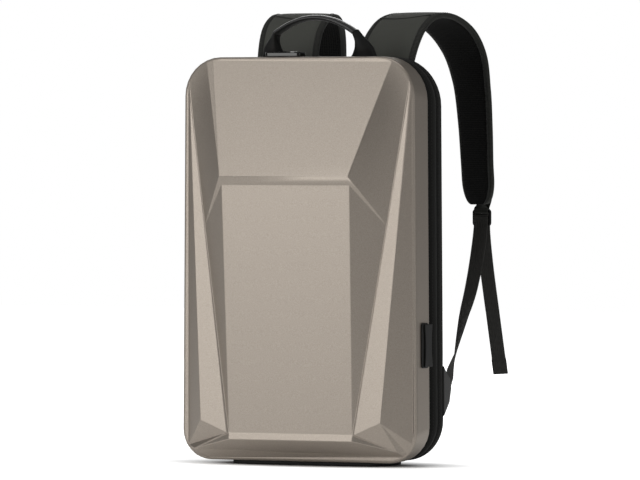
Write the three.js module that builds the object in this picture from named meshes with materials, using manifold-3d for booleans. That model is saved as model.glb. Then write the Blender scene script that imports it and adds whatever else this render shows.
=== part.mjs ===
// A hard shell backpack: a moulded front shell zipped to a fabric body, with a top handle and two padded straps
// Lengths are in millimetres. +X is the right side seen from the front, +Y points to the wearer, +Z is up.
// The origin is the middle of the underside of the base pad that the bag stands on.
import * as THREE from "three";
import { mergeVertices } from "three/addons/utils/BufferGeometryUtils.js";
import Module from "manifold-3d";

const wasm = await Module();
wasm.setup();

// Clearance between pieces that touch
const GAP = 0.3;

// Base pad
const BASE_PAD_WIDTH = 186;
const BASE_PAD_DEPTH = 72;
const BASE_PAD_THICKNESS = 5;
const BASE_PAD_CORNER = 12;
const BASE_PAD_SETBACK = 14; // from the front rim back to the pad

// Body outline, seen from the front
const BODY_HEIGHT = 458;
const BODY_WIDTH_BOTTOM = 292;
const BODY_WIDTH_TOP = 287;
const TOP_CORNER_RADIUS = 44;
const BOTTOM_CORNER_RADIUS = 34;
const REAR_CORNER_GROWTH = 12; // how much rounder the corners are at the rear seam than at the front rim
const CORNER_STEPS = 8;

// Front shell
const SHELL_DEPTH = 40;
const SHELL_WALL = 2.6;
const RELIEF_HEIGHT = 41.5; // from the rim out to the ridge
const RIM_ROUND = 3;
const RIM_INSET = 2.5;
const REAR_ROUND = 5;
const REAR_INSET = 2.2;
const FACET_STEP_WIDTH = 2.2;
const FACET_STEP_RISE = 1.6;

// Zip
const ZIP_WIDTH = 7.4;
const ZIP_TAPE_INSET = 4.8;
const ZIP_TAPE_THICKNESS = 1.8;
const ZIP_TEETH_WIDTH = 4;
const ZIP_TEETH_THICKNESS = 1.3;

// Fabric bands and back
const GUSSET_DEPTH = 15;
const REAR_BAND_DEPTH = 11.5;
const FABRIC_WALL = 2.4;
const SEAM_INSET = 2.2; // how deep the fabric dips at the seam between the two bands
const BACK_THICKNESS = 17;
const BACK_EDGE_INSET = 1.6;
const BACK_FACE_INSET = 14;

// Top handle
const HANDLE_SPAN = 98; // between the sleeve seams at the ends of the grip
const HANDLE_RISE = 45; // from the top of the body to the middle of the grip
const HANDLE_SEAM_DROP = 17; // from the middle of the grip down to its ends
const GRIP_WIDTH = 20;
const GRIP_THICKNESS = 6.4;
const HANDLE_LEAN = 9; // how far the grip stands in front of its feet
const FOOT_LENGTH = 32;
const FOOT_WIDTH = 17;
const FOOT_OFFSET = 6.5; // from the sleeve seam out to the middle of the foot
const HANDLE_SETBACK = 9; // from the front of the gusset back to the middle of the feet

// Combination lock
const LOCK_LENGTH = 44;
const LOCK_WIDTH = 19;
const LOCK_HEIGHT = 5.2;
const LOCK_OFFSET = -27; // from the middle of the bag
const LOCK_SETBACK = 13.5;
const LOCK_BODY_DEPTH = 6;
const LOCK_BODY_MARGIN = 2;
const DIAL_COUNT = 3;
const DIAL_RADIUS = 5;
const DIAL_THICKNESS = 4;
const DIAL_PITCH = 6.2;
const DIAL_PROUD = 1.3; // how far a dial stands above the lock
const DIAL_GRIPS = 10;
const DIAL_CLEARANCE = 0.35;
const BUTTON_LENGTH = 8;
const BUTTON_WIDTH = 7;
const BUTTON_PROUD = 1;
const BUTTON_DEPTH = 2;
const BUTTON_TRAVEL = 3;

// Zip pulls
const SLIDER_LENGTH = 10;
const SLIDER_SPACING = 16;
const PULL_WIDTH = 5;
const PULL_THICKNESS = 1.6;

// Side port
const PORT_HEIGHT = 51;
const PORT_FROM_BASE = 112; // from the floor up to the frame's lower edge
const PORT_SETBACK = 13.3;
const PORT_FRAME_WIDTH = 17.5;
const PORT_FRAME_THICKNESS = 1.5;
const PORT_COVER_WIDTH = 21;
const PORT_COVER_SETBACK = 4.4;
const PORT_COVER_THICKNESS = 1.6;
const PORT_COVER_MARGIN = 1.5;
const PORT_WAIST = 2.2; // how far the cover's long edges pull in

// Shoulder straps
const STRAP_WIDTH = 75;
const STRAP_THICKNESS = 8;
const STRAP_RISE = 49; // from the top of the body to the middle of the strap's crest
const STRAP_HEIGHT = 218; // from the strap's lower end to its crest
const STRAP_REACH = 173; // from the strap's root back to its lower end
const STRAP_ROOT_X = 56;
const STRAP_SPREAD = 50.5; // how much further out the lower end is than the root
const STRAP_END_ROUND = 30;
const STRAP_END_WIDTH = 32;
const STRAP_ROUTE = [
  { out: 0, up: 0.463, across: 0, twist: 0 },
  { out: 0.002, up: 0.601, across: 0.04, twist: 0 },
  { out: 0.04, up: 0.766, across: 0.111, twist: 3 },
  { out: 0.165, up: 0.917, across: 0.2, twist: 7 },
  { out: 0.345, up: 0.989, across: 0.27, twist: 10 },
  { out: 0.576, up: 0.991, across: 0.42, twist: 13 },
  { out: 0.778, up: 0.917, across: 0.634, twist: 20 },
  { out: 0.894, up: 0.798, across: 0.792, twist: 27 },
  { out: 0.951, up: 0.633, across: 0.881, twist: 34 },
  { out: 0.977, up: 0.417, across: 0.931, twist: 37 },
  { out: 0.991, up: 0.211, across: 0.955, twist: 39 },
  { out: 1, up: 0, across: 1, twist: 39 },
];

// Strap buckles, webbing and anchor tabs
const WEBBING_WIDTH = 19;
const WEBBING_THICKNESS = 1.6;
const BUCKLE_WIDTH = 25;
const BUCKLE_HEIGHT = 20;
const BUCKLE_THICKNESS = 3.6;
const BUCKLE_BAR = 3.4;
const BUCKLE_DROP = 15.5; // from the strap's lower end down to the buckle's middle
const BUCKLE_TURN = 10; // degrees
const LOOP_WIDTH = 19;
const LOOP_THICKNESS = 1.6;
const LOOP_LENGTH = 28; // up the back of the strap
const LOOP_OFFSET = 6; // from the middle of the strap in towards the bag
const LOOP_BULGE = 9; // how far the loop's rear ply stands off its front ply
const TAIL_LENGTH = 181;
const TAIL_SWING_OUT = 14;
const TAIL_SWING_BACK = 20;
const TAIL_END_LENGTH = 17;
const TAIL_END_THICKNESS = 3.4;
const TAB_THICKNESS = 2.2;
const TAB_REACH = 21;
const TAB_HEIGHT = 57;
const TAB_FROM_BASE = 56;
const TAB_INSET = 1.1; // from the widest line of the body in to the tab

// Places along the depth of the bag, front to back
const RIM_Y = -(BASE_PAD_SETBACK + BASE_PAD_DEPTH / 2);
const WALL_FRONT_Y = RIM_Y + RIM_ROUND;
const SHELL_REAR_Y = RIM_Y + SHELL_DEPTH;
const ZIP_FRONT_Y = SHELL_REAR_Y + GAP;
const ZIP_REAR_Y = ZIP_FRONT_Y + ZIP_WIDTH;
const GUSSET_FRONT_Y = ZIP_REAR_Y + GAP;
const GUSSET_REAR_Y = GUSSET_FRONT_Y + GUSSET_DEPTH;
const BAND_FRONT_Y = GUSSET_REAR_Y + GAP;
const BAND_REAR_Y = BAND_FRONT_Y + REAR_BAND_DEPTH;
const BACK_FRONT_Y = BAND_REAR_Y + GAP;
const BACK_FACE_Y = BACK_FRONT_Y + BACK_THICKNESS;
const BODY_BASE_Z = BASE_PAD_THICKNESS;
const BODY_TOP_Z = BODY_BASE_Z + BODY_HEIGHT;

const MATERIALS = {
  shell: { color: "#b0a69b", roughness: 0.42, metalness: 0.35 },
  zip: { color: "#141413", roughness: 0.7, metalness: 0 },
  fabric: { color: "#1b1b1a", roughness: 0.9, metalness: 0 },
  mesh: { color: "#151514", roughness: 0.95, metalness: 0 },
  strap: { color: "#3a3b38", roughness: 0.85, metalness: 0 },
  webbing: { color: "#2a2a28", roughness: 0.85, metalness: 0 },
  rubber: { color: "#1c1c1b", roughness: 0.6, metalness: 0 },
  plastic: { color: "#161616", roughness: 0.45, metalness: 0 },
  chrome: { color: "#c9c9c9", roughness: 0.15, metalness: 1 },
};

const bag = new THREE.Group();

// Adds one named piece to the bag
function addPiece(name, geometry, finish) {
  const mesh = new THREE.Mesh(geometry, new THREE.MeshStandardMaterial(MATERIALS[finish]));
  mesh.name = name;
  bag.add(mesh);
}

// Collects triangles, and turns them into a closed geometry that faces outwards
class Faces {
  constructor() {
    this.points = [];
  }

  triangle(a, b, c) {
    this.points.push(a, b, c);
  }

  // Joins two rings of as many points, round the whole ring or only along it
  band(ringA, ringB, closed = true) {
    const count = closed ? ringA.length : ringA.length - 1;
    for (let i = 0; i < count; i++) {
      const j = (i + 1) % ringA.length;
      this.triangle(ringA[i], ringB[i], ringB[j]);
      this.triangle(ringA[i], ringB[j], ringA[j]);
    }
  }

  // Fills a convex ring with a fan
  fan(ring) {
    for (let i = 1; i < ring.length - 1; i++) this.triangle(ring[0], ring[i], ring[i + 1]);
  }

  // Fills any ring that keeps its shape seen along Y, anticlockwise seen from the front
  facet(ring) {
    const flat = ring.map((p) => new THREE.Vector2(p.x, p.z));
    for (const corners of THREE.ShapeUtils.triangulateShape(flat, [])) {
      const [i, j, k] = corners;
      const turn = flat[j].clone().sub(flat[i]).cross(flat[k].clone().sub(flat[i]));
      this.triangle(ring[i], ring[turn > 0 ? j : k], ring[turn > 0 ? k : j]);
    }
  }

  geometry() {
    let volume = 0;
    for (let i = 0; i < this.points.length; i += 3) {
      const [a, b, c] = this.points.slice(i, i + 3);
      volume += a.dot(new THREE.Vector3().crossVectors(b, c));
    }
    const ordered = volume < 0 ? [...this.points].reverse() : this.points;
    return new THREE.BufferGeometry().setFromPoints(ordered);
  }
}

// A geometry as a solid that can be joined and cut
function solidOf(geometry) {
  const bare = new THREE.BufferGeometry().setAttribute("position", geometry.getAttribute("position").clone());
  bare.setIndex(geometry.index);
  const merged = mergeVertices(bare, 1e-4);
  return new wasm.Manifold(
    new wasm.Mesh({
      numProp: 3,
      vertProperties: merged.getAttribute("position").array,
      triVerts: new Uint32Array(merged.index.array),
    }),
  );
}

// A solid as a geometry
function geometryOf(solid) {
  const mesh = solid.getMesh();
  return new THREE.BufferGeometry()
    .setAttribute("position", new THREE.BufferAttribute(mesh.vertProperties, 3))
    .setIndex(new THREE.BufferAttribute(mesh.triVerts, 1));
}

// A box between two opposite corners
function box(low, high) {
  const size = high.map((value, i) => value - low[i]);
  return new THREE.BoxGeometry(...size).translate(...low.map((value, i) => value + size[i] / 2));
}

// A plate of a flat outline, whose extrusion starts on the outline's own plane
function plate(shape, thickness, bevel = 0) {
  return new THREE.ExtrudeGeometry(shape, {
    depth: thickness - 2 * bevel,
    bevelEnabled: bevel > 0,
    bevelThickness: bevel,
    bevelSize: bevel,
    bevelOffset: -bevel,
    bevelSegments: 1,
    curveSegments: 4,
  }).translate(0, 0, bevel);
}

// A rectangle with round corners, centred on its own origin
function roundedRectangle(width, height, radius) {
  const r = Math.min(radius, width / 2 - 0.1, height / 2 - 0.1);
  const x = width / 2 - r;
  const y = height / 2 - r;
  const shape = new THREE.Shape();
  shape.absarc(x, -y, r, -Math.PI / 2, 0);
  shape.absarc(x, y, r, 0, Math.PI / 2);
  shape.absarc(-x, y, r, Math.PI / 2, Math.PI);
  shape.absarc(-x, -y, r, Math.PI, 1.5 * Math.PI);
  return shape;
}

// The body's outline in the plane at y, drawn in by inset. It runs anticlockwise seen from the front, from the
// bottom right corner, with one more point in each corner than CORNER_STEPS
function bodyOutline(inset, y) {
  const share = THREE.MathUtils.clamp((y - RIM_Y) / (BAND_REAR_Y - RIM_Y), 0, 1);
  const growth = REAR_CORNER_GROWTH * share;
  const low = BOTTOM_CORNER_RADIUS + growth;
  const high = TOP_CORNER_RADIUS + growth;
  const corners = [
    { x: BODY_WIDTH_BOTTOM / 2 - low, z: BODY_BASE_Z + low, radius: low, start: -90 },
    { x: BODY_WIDTH_TOP / 2 - high, z: BODY_TOP_Z - high, radius: high, start: 0 },
    { x: -(BODY_WIDTH_TOP / 2 - high), z: BODY_TOP_Z - high, radius: high, start: 90 },
    { x: -(BODY_WIDTH_BOTTOM / 2 - low), z: BODY_BASE_Z + low, radius: low, start: 180 },
  ];
  return corners.flatMap(({ x, z, radius, start }) =>
    Array.from({ length: CORNER_STEPS + 1 }, (_, step) => {
      const angle = THREE.MathUtils.degToRad(start + (90 * step) / CORNER_STEPS);
      const r = radius - inset;
      return new THREE.Vector3(x + r * Math.cos(angle), y, z + r * Math.sin(angle));
    }),
  );
}

// A band that runs round the body: its profile is a closed loop of rows with a place along Y and an inset.
// Where skipped is over 0, the band leaves out that many points at each side of the middle of the bottom
function bandRound(profile, skipped = 0) {
  const rings = profile.map(({ y, inset }) => {
    const ring = bodyOutline(inset, y);
    return ring.slice(skipped, ring.length - skipped);
  });
  const faces = new Faces();
  rings.forEach((ring, i) => faces.band(ring, rings[(i + 1) % rings.length], skipped === 0));
  if (skipped > 0) {
    faces.fan(rings.map((ring) => ring[0]).reverse());
    faces.fan(rings.map((ring) => ring[ring.length - 1]));
  }
  return faces.geometry();
}

// Sweeps a section along stations. Each station has a middle and the two vectors that the section's unit shape
// is stretched along
function sweep(stations, section) {
  const rings = stations.map(({ at, across, thick }) =>
    section.map(([a, b]) => at.clone().addScaledVector(across, a).addScaledVector(thick, b)),
  );
  const faces = new Faces();
  for (let i = 0; i < rings.length - 1; i++) faces.band(rings[i], rings[i + 1]);
  faces.fan(rings[0]);
  faces.fan([...rings[rings.length - 1]].reverse());
  return faces.geometry();
}

const PAD_SECTION = [[-1, -0.4], [-0.9, -1], [0.9, -1], [1, -0.4], [1, 0.4], [0.9, 1], [-0.9, 1], [-1, 0.4]];
const FLAT_SECTION = [[-1, -1], [1, -1], [1, 1], [-1, 1]];
const OVAL_SECTION = Array.from({ length: 10 }, (_, i) => {
  const angle = (2 * Math.PI * i) / 10;
  return [Math.cos(angle), Math.sin(angle)];
});

// Stations along a smooth route of rows { at, twist }: the section's width turns by twist degrees about Z away
// from +X, and stays square to the route
function routeStations(rows, stepsPerRow, halfWidth, halfThickness) {
  const curve = new THREE.CatmullRomCurve3(rows.map((row) => row.at), false, "centripetal");
  const last = rows.length - 1;
  const stations = [];
  for (let i = 0; i <= last * stepsPerRow; i++) {
    const t = i / (last * stepsPerRow);
    const row = Math.min(Math.floor(t * last), last - 1);
    const twist = THREE.MathUtils.degToRad(
      THREE.MathUtils.lerp(rows[row].twist, rows[row + 1].twist, t * last - row),
    );
    const tangent = curve.getTangent(t);
    const across = new THREE.Vector3(Math.cos(twist), -Math.sin(twist), 0);
    across.addScaledVector(tangent, -across.dot(tangent)).normalize();
    const thick = new THREE.Vector3().crossVectors(tangent, across).normalize();
    stations.push({ at: curve.getPoint(t), across, thick });
  }
  const distances = curve.getLengths(last * stepsPerRow);
  const length = distances[distances.length - 1];
  let travelled = 0;
  stations.forEach((station, i) => {
    if (i > 0) travelled += station.at.distanceTo(stations[i - 1].at);
    station.across.multiplyScalar(halfWidth(travelled, length));
    station.thick.multiplyScalar(halfThickness(travelled, length));
  });
  return stations;
}

// The mirror image of a geometry on the other side of the bag
function mirrored(geometry) {
  const flat = geometry.index ? geometry.toNonIndexed() : geometry.clone();
  const points = [];
  const position = flat.getAttribute("position");
  for (let i = position.count - 1; i >= 0; i--) {
    points.push(new THREE.Vector3().fromBufferAttribute(position, i).multiply(new THREE.Vector3(-1, 1, 1)));
  }
  return new THREE.BufferGeometry().setFromPoints(points);
}

// Adds a piece of the right side and its mirror image on the left
function addPair(name, geometry, finish) {
  addPiece(name + "_right", geometry, finish);
  addPiece(name + "_left", mirrored(geometry), finish);
}

// The relief's corners on the right half: across is a share of half the body's bottom width, up a share of the
// body's height and out a share of the relief's height
const RELIEF = {
  ridge: { across: 0.548, up: 0.705, out: 1 },
  panelTop: { across: 0.546, up: 0.684, out: 0.87 },
  panelFoot: { across: 0.527, up: 0.07, out: 0.53 },
  lip: { across: 0.525, up: 0.054, out: 0.58 },
  facetFoot: { across: 0.767, up: 0.1, out: 0.58 },
  groove: { across: 0.87, up: 0.028, out: 0.22 },
};

// How far up the straight valley the diagonal meets it, from the panel's foot to the facet's apex on the rim
const VALLEY_SHARE = 0.593;

// Points of the rim where the relief's creases meet it, counted from the bottom right corner
const GROOVE_AT_RIM = 3;
const CREASE_AT_RIM = 5;
const APEX_AT_RIM = CORNER_STEPS + 3;
const TRAPEZOID_AT_RIM = CORNER_STEPS + 7;

// The shell's outer form, or with setback over 0 the hollow that fits inside it
function shellForm(profile, setback) {
  const rings = profile.map(({ y, inset }) => bodyOutline(inset, y));
  const rim = rings[rings.length - 1];
  const faces = new Faces();
  faces.fan([...rings[0]].reverse());
  for (let i = 0; i < rings.length - 1; i++) faces.band(rings[i + 1], rings[i]);

  const corner = (name, side, across = 0, rise = 0) =>
    new THREE.Vector3(
      side * (RELIEF[name].across * (BODY_WIDTH_BOTTOM / 2) + across),
      RIM_Y - RELIEF[name].out * RELIEF_HEIGHT - rise + setback,
      BODY_BASE_Z + RELIEF[name].up * BODY_HEIGHT,
    );
  const rimPoint = (side, index) => {
    const place = side > 0 ? index : -1 - index;
    return rim[THREE.MathUtils.euclideanModulo(place, rim.length)];
  };
  const rimStretch = (side, from, to) => {
    const step = Math.sign(to - from);
    return Array.from({ length: Math.abs(to - from) + 1 }, (_, i) => rimPoint(side, from + i * step));
  };

  for (const side of [1, -1]) {
    const at = (name) => corner(name, side);
    const apex = rimPoint(side, APEX_AT_RIM);
    const footStep = corner("panelFoot", side, FACET_STEP_WIDTH, FACET_STEP_RISE);
    const valley = at("panelFoot").lerp(apex, VALLEY_SHARE);
    const valleyStep = footStep.clone().lerp(apex, VALLEY_SHARE);
    faces.facet([at("ridge"), valley, rimPoint(side, TRAPEZOID_AT_RIM)]);
    faces.facet([valley, ...rimStretch(side, APEX_AT_RIM, TRAPEZOID_AT_RIM)]);
    faces.facet([at("ridge"), at("panelTop"), valley]);
    faces.facet([at("panelTop"), at("panelFoot"), valley]);
    faces.facet([apex, valley, valleyStep]);
    faces.facet([valley, at("panelFoot"), footStep, valleyStep]);
    faces.facet([at("panelFoot"), at("groove"), footStep]);
    faces.facet([apex, valleyStep, footStep, at("facetFoot")]);
    faces.facet([at("facetFoot"), ...rimStretch(side, CREASE_AT_RIM, APEX_AT_RIM)]);
    faces.facet([at("facetFoot"), footStep, at("groove"), ...rimStretch(side, GROOVE_AT_RIM, CREASE_AT_RIM)]);
    faces.facet([at("panelFoot"), at("lip"), at("groove")]);
  }
  const both = (name) => [corner(name, -1), corner(name, 1)];
  const strip = (high, low) => faces.facet([...both(high), ...both(low).reverse()]);
  strip("ridge", "panelTop");
  strip("panelTop", "panelFoot");
  strip("panelFoot", "lip");
  faces.facet([...both("ridge"), ...rimStretch(1, TRAPEZOID_AT_RIM, rim.length - 1 - TRAPEZOID_AT_RIM)]);
  faces.facet([
    corner("lip", 1),
    corner("lip", -1),
    corner("groove", -1),
    ...rimStretch(-1, GROOVE_AT_RIM, -1 - GROOVE_AT_RIM),
    corner("groove", 1),
  ]);
  return faces.geometry();
}

// The shell stands as three solids: the wall round it, and the front above and below the ridge
function addFrontShell() {
  const outer = [
    { y: SHELL_REAR_Y, inset: REAR_INSET },
    { y: SHELL_REAR_Y - 0.3 * REAR_ROUND, inset: 0.42 * REAR_INSET },
    { y: SHELL_REAR_Y - REAR_ROUND, inset: 0 },
    { y: RIM_Y + RIM_ROUND, inset: 0 },
    { y: RIM_Y + 0.3 * RIM_ROUND, inset: 0.3 * RIM_INSET },
    { y: RIM_Y, inset: RIM_INSET },
  ];
  const inner = [
    { y: SHELL_REAR_Y + SHELL_WALL, inset: REAR_INSET + 0.8 * SHELL_WALL },
    { y: SHELL_REAR_Y, inset: REAR_INSET + 0.8 * SHELL_WALL },
    { y: SHELL_REAR_Y - REAR_ROUND, inset: SHELL_WALL },
    { y: RIM_Y + RIM_ROUND + SHELL_WALL, inset: SHELL_WALL },
    { y: RIM_Y + SHELL_WALL, inset: RIM_INSET + SHELL_WALL },
  ];
  const margin = LOCK_BODY_MARGIN - GAP;
  const cutOut = box(
    [LOCK_LEFT + margin, LOCK_FRONT_Y + margin, BODY_TOP_Z - LOCK_BODY_DEPTH - GAP],
    [LOCK_RIGHT - margin, LOCK_REAR_Y - margin, BODY_TOP_Z + 1],
  );
  const tray = solidOf(shellForm(outer, 0)).subtract(solidOf(shellForm(inner, SHELL_WALL)));
  const shell = tray.subtract(solidOf(cutOut));
  const reach = Math.max(BODY_WIDTH_BOTTOM, BODY_WIDTH_TOP);
  const frontY = RIM_Y - 2 * RELIEF_HEIGHT;
  const ridgeZ = BODY_BASE_Z + RELIEF.ridge.up * BODY_HEIGHT;
  const shareOfShell = (low, high) => geometryOf(shell.intersect(solidOf(box(low, high))));
  const wall = shareOfShell([-reach, WALL_FRONT_Y + GAP, 0], [reach, 0, 2 * BODY_TOP_Z]);
  const upper = shareOfShell([-reach, frontY, ridgeZ + GAP / 2], [reach, WALL_FRONT_Y, 2 * BODY_TOP_Z]);
  const lower = shareOfShell([-reach, frontY, 0], [reach, WALL_FRONT_Y, ridgeZ - GAP / 2]);
  addPiece("shell_wall", wall, "shell");
  addPiece("shell_front_upper", upper, "shell");
  addPiece("shell_front_lower", lower, "shell");
}

function addZip() {
  const tapeInner = ZIP_TAPE_INSET + ZIP_TAPE_THICKNESS;
  addPiece(
    "zip_tape",
    bandRound([
      { y: ZIP_FRONT_Y, inset: ZIP_TAPE_INSET },
      { y: ZIP_REAR_Y, inset: ZIP_TAPE_INSET },
      { y: ZIP_REAR_Y, inset: tapeInner },
      { y: ZIP_FRONT_Y, inset: tapeInner },
    ]),
    "zip",
  );
  const teethFront = ZIP_MIDDLE_Y - ZIP_TEETH_WIDTH / 2;
  const teethRear = ZIP_MIDDLE_Y + ZIP_TEETH_WIDTH / 2;
  addPiece(
    "zip_teeth",
    bandRound(
      [
        { y: teethFront, inset: TEETH_INSET + 0.4 * ZIP_TEETH_THICKNESS },
        { y: ZIP_MIDDLE_Y, inset: TEETH_INSET },
        { y: teethRear, inset: TEETH_INSET + 0.4 * ZIP_TEETH_THICKNESS },
        { y: teethRear, inset: TEETH_INSET + ZIP_TEETH_THICKNESS },
        { y: teethFront, inset: TEETH_INSET + ZIP_TEETH_THICKNESS },
      ],
      CORNER_STEPS / 2,
    ),
    "plastic",
  );
}

function addBody() {
  const along = (front, rear, share) => THREE.MathUtils.lerp(front, rear, share);
  const gusset = (share) => along(GUSSET_FRONT_Y, GUSSET_REAR_Y, share);
  const band = (share) => along(BAND_FRONT_Y, BAND_REAR_Y, share);
  const back = (share) => along(BACK_FRONT_Y, BACK_FACE_Y, share);
  addPiece(
    "gusset",
    bandRound([
      { y: gusset(0), inset: 2.2 * SEAM_INSET },
      { y: gusset(0.2), inset: SEAM_INSET },
      { y: gusset(0.55), inset: 0.15 * SEAM_INSET },
      { y: gusset(0.85), inset: 0.4 * SEAM_INSET },
      { y: gusset(1), inset: SEAM_INSET },
      { y: gusset(1), inset: SEAM_INSET + FABRIC_WALL },
      { y: gusset(0.55), inset: 0.15 * SEAM_INSET + FABRIC_WALL },
      { y: gusset(0), inset: 2.2 * SEAM_INSET + FABRIC_WALL },
    ]),
    "fabric",
  );
  addPiece(
    "rear_band",
    bandRound([
      { y: band(0), inset: SEAM_INSET },
      { y: band(0.25), inset: 0.3 * SEAM_INSET },
      { y: band(0.65), inset: 0 },
      { y: band(1), inset: 0.4 * SEAM_INSET },
      { y: band(1), inset: 0.4 * SEAM_INSET + FABRIC_WALL },
      { y: band(0.5), inset: FABRIC_WALL },
      { y: band(0), inset: SEAM_INSET + FABRIC_WALL },
    ]),
    "fabric",
  );
  const rows = [
    { y: back(0), inset: BACK_EDGE_INSET },
    { y: back(0.17), inset: 1.4 * BACK_EDGE_INSET },
    { y: back(0.55), inset: 0.4 * BACK_FACE_INSET },
    { y: back(0.88), inset: 0.7 * BACK_FACE_INSET },
    { y: back(1), inset: BACK_FACE_INSET },
  ];
  const rings = rows.map(({ y, inset }) => bodyOutline(inset, y));
  const faces = new Faces();
  for (let i = 0; i < rings.length - 1; i++) faces.band(rings[i], rings[i + 1]);
  faces.fan(rings[0]);
  faces.fan([...rings[rings.length - 1]].reverse());
  addPiece("back_panel", faces.geometry(), "mesh");

  const pad = plate(
    roundedRectangle(BASE_PAD_WIDTH, BASE_PAD_DEPTH, BASE_PAD_CORNER),
    BASE_PAD_THICKNESS - GAP,
  );
  addPiece("base_pad", pad, "rubber");
}

// The lock, let into the top of the shell
const LOCK_LEFT = LOCK_OFFSET - LOCK_LENGTH / 2;
const LOCK_RIGHT = LOCK_OFFSET + LOCK_LENGTH / 2;
const LOCK_FRONT_Y = RIM_Y + LOCK_SETBACK;
const LOCK_REAR_Y = LOCK_FRONT_Y + LOCK_WIDTH;
const LOCK_MIDDLE_Y = (LOCK_FRONT_Y + LOCK_REAR_Y) / 2;
const LOCK_TOP_Z = BODY_TOP_Z + GAP + LOCK_HEIGHT;
const DIAL_AXIS_Z = LOCK_TOP_Z + DIAL_PROUD - DIAL_RADIUS;
const BUTTON_X = LOCK_OFFSET + 0.23 * LOCK_LENGTH;
const ZIP_MIDDLE_Y = (ZIP_FRONT_Y + ZIP_REAR_Y) / 2;
const TEETH_INSET = ZIP_TAPE_INSET - GAP - ZIP_TEETH_THICKNESS;

const dialX = (index) => LOCK_OFFSET - 0.31 * LOCK_LENGTH + index * DIAL_PITCH;

function addLock() {
  const flange = plate(roundedRectangle(LOCK_LENGTH, LOCK_WIDTH, 4), LOCK_HEIGHT, 1).translate(
    LOCK_OFFSET,
    LOCK_MIDDLE_Y,
    BODY_TOP_Z + GAP,
  );
  const body = box(
    [LOCK_LEFT + LOCK_BODY_MARGIN, LOCK_FRONT_Y + LOCK_BODY_MARGIN, BODY_TOP_Z - LOCK_BODY_DEPTH],
    [LOCK_RIGHT - LOCK_BODY_MARGIN, LOCK_REAR_Y - LOCK_BODY_MARGIN, BODY_TOP_Z + 2 * GAP],
  );
  let housing = solidOf(flange).add(solidOf(body));
  for (let index = 0; index < DIAL_COUNT; index++) {
    const thickness = DIAL_THICKNESS + 2 * DIAL_CLEARANCE;
    const radius = DIAL_RADIUS + DIAL_CLEARANCE;
    const slot = new THREE.CylinderGeometry(radius, radius, thickness, 24)
      .rotateZ(Math.PI / 2)
      .translate(dialX(index), LOCK_MIDDLE_Y, DIAL_AXIS_Z);
    housing = housing.subtract(solidOf(slot));
  }
  const halfLength = BUTTON_LENGTH / 2 + GAP;
  const halfWidth = BUTTON_WIDTH / 2 + GAP;
  const pocket = box(
    [BUTTON_X - halfLength, LOCK_MIDDLE_Y - halfWidth, LOCK_TOP_Z - BUTTON_DEPTH - GAP],
    [BUTTON_X + halfLength + BUTTON_TRAVEL, LOCK_MIDDLE_Y + halfWidth, LOCK_TOP_Z + 1],
  );
  housing = housing.subtract(solidOf(pocket));
  addPiece("lock_housing", geometryOf(housing), "chrome");

  for (let index = 0; index < DIAL_COUNT; index++) {
    const half = DIAL_THICKNESS / 2;
    const wheel = new THREE.Shape();
    for (let i = 0; i < 2 * DIAL_GRIPS; i++) {
      const angle = (Math.PI * i) / DIAL_GRIPS;
      const radius = i % 2 === 0 ? DIAL_RADIUS : 0.92 * DIAL_RADIUS;
      const [x, y] = [radius * Math.cos(angle), radius * Math.sin(angle)];
      if (i === 0) wheel.moveTo(x, y);
      else wheel.lineTo(x, y);
    }
    wheel.closePath();
    const dial = plate(wheel, DIAL_THICKNESS, 0.4)
      .rotateY(Math.PI / 2)
      .translate(dialX(index) - half, LOCK_MIDDLE_Y, DIAL_AXIS_Z);
    addPiece("lock_dial_" + (index + 1), dial, "plastic");
  }

  const button = plate(roundedRectangle(BUTTON_LENGTH, BUTTON_WIDTH, 2), BUTTON_DEPTH + BUTTON_PROUD, 0.5);
  addPiece("lock_button", button.translate(BUTTON_X, LOCK_MIDDLE_Y, LOCK_TOP_Z - BUTTON_DEPTH), "chrome");
}

// The two sliders sit on the teeth behind the lock, and their pulls reach forward to it
function addPullers() {
  const teethTop = BODY_TOP_Z - TEETH_INSET;
  for (const [name, side] of [["left", -1], ["right", 1]]) {
    const x = LOCK_OFFSET + (side * SLIDER_SPACING) / 2;
    const slider = box(
      [x - SLIDER_LENGTH / 2, ZIP_FRONT_Y + GAP, teethTop + GAP],
      [x + SLIDER_LENGTH / 2, ZIP_REAR_Y - GAP, BODY_TOP_Z + 2 * GAP],
    );
    const pull = box(
      [x - PULL_WIDTH / 2, LOCK_REAR_Y + GAP, BODY_TOP_Z + GAP],
      [x + PULL_WIDTH / 2, ZIP_MIDDLE_Y, BODY_TOP_Z + GAP + PULL_THICKNESS],
    );
    addPiece("zip_puller_" + name, geometryOf(solidOf(slider).add(solidOf(pull))), "chrome");
  }
}

// The handle's feet stand on the seam between the two bands
const HANDLE_FEET_Y = GUSSET_FRONT_Y + HANDLE_SETBACK;
const GRIP_Z = BODY_TOP_Z + HANDLE_RISE;
const FOOT_STATIONS = [
  { down: 0, out: 0, length: 0.25, width: 1 },
  { down: 0.25, out: 0.45, length: 0.36, width: 0.9 },
  { down: 0.5, out: 0.8, length: 0.6, width: 0.95 },
  { down: 0.75, out: 1, length: 0.86, width: 1 },
  { down: 1, out: 1, length: 1, width: 1 },
];

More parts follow.
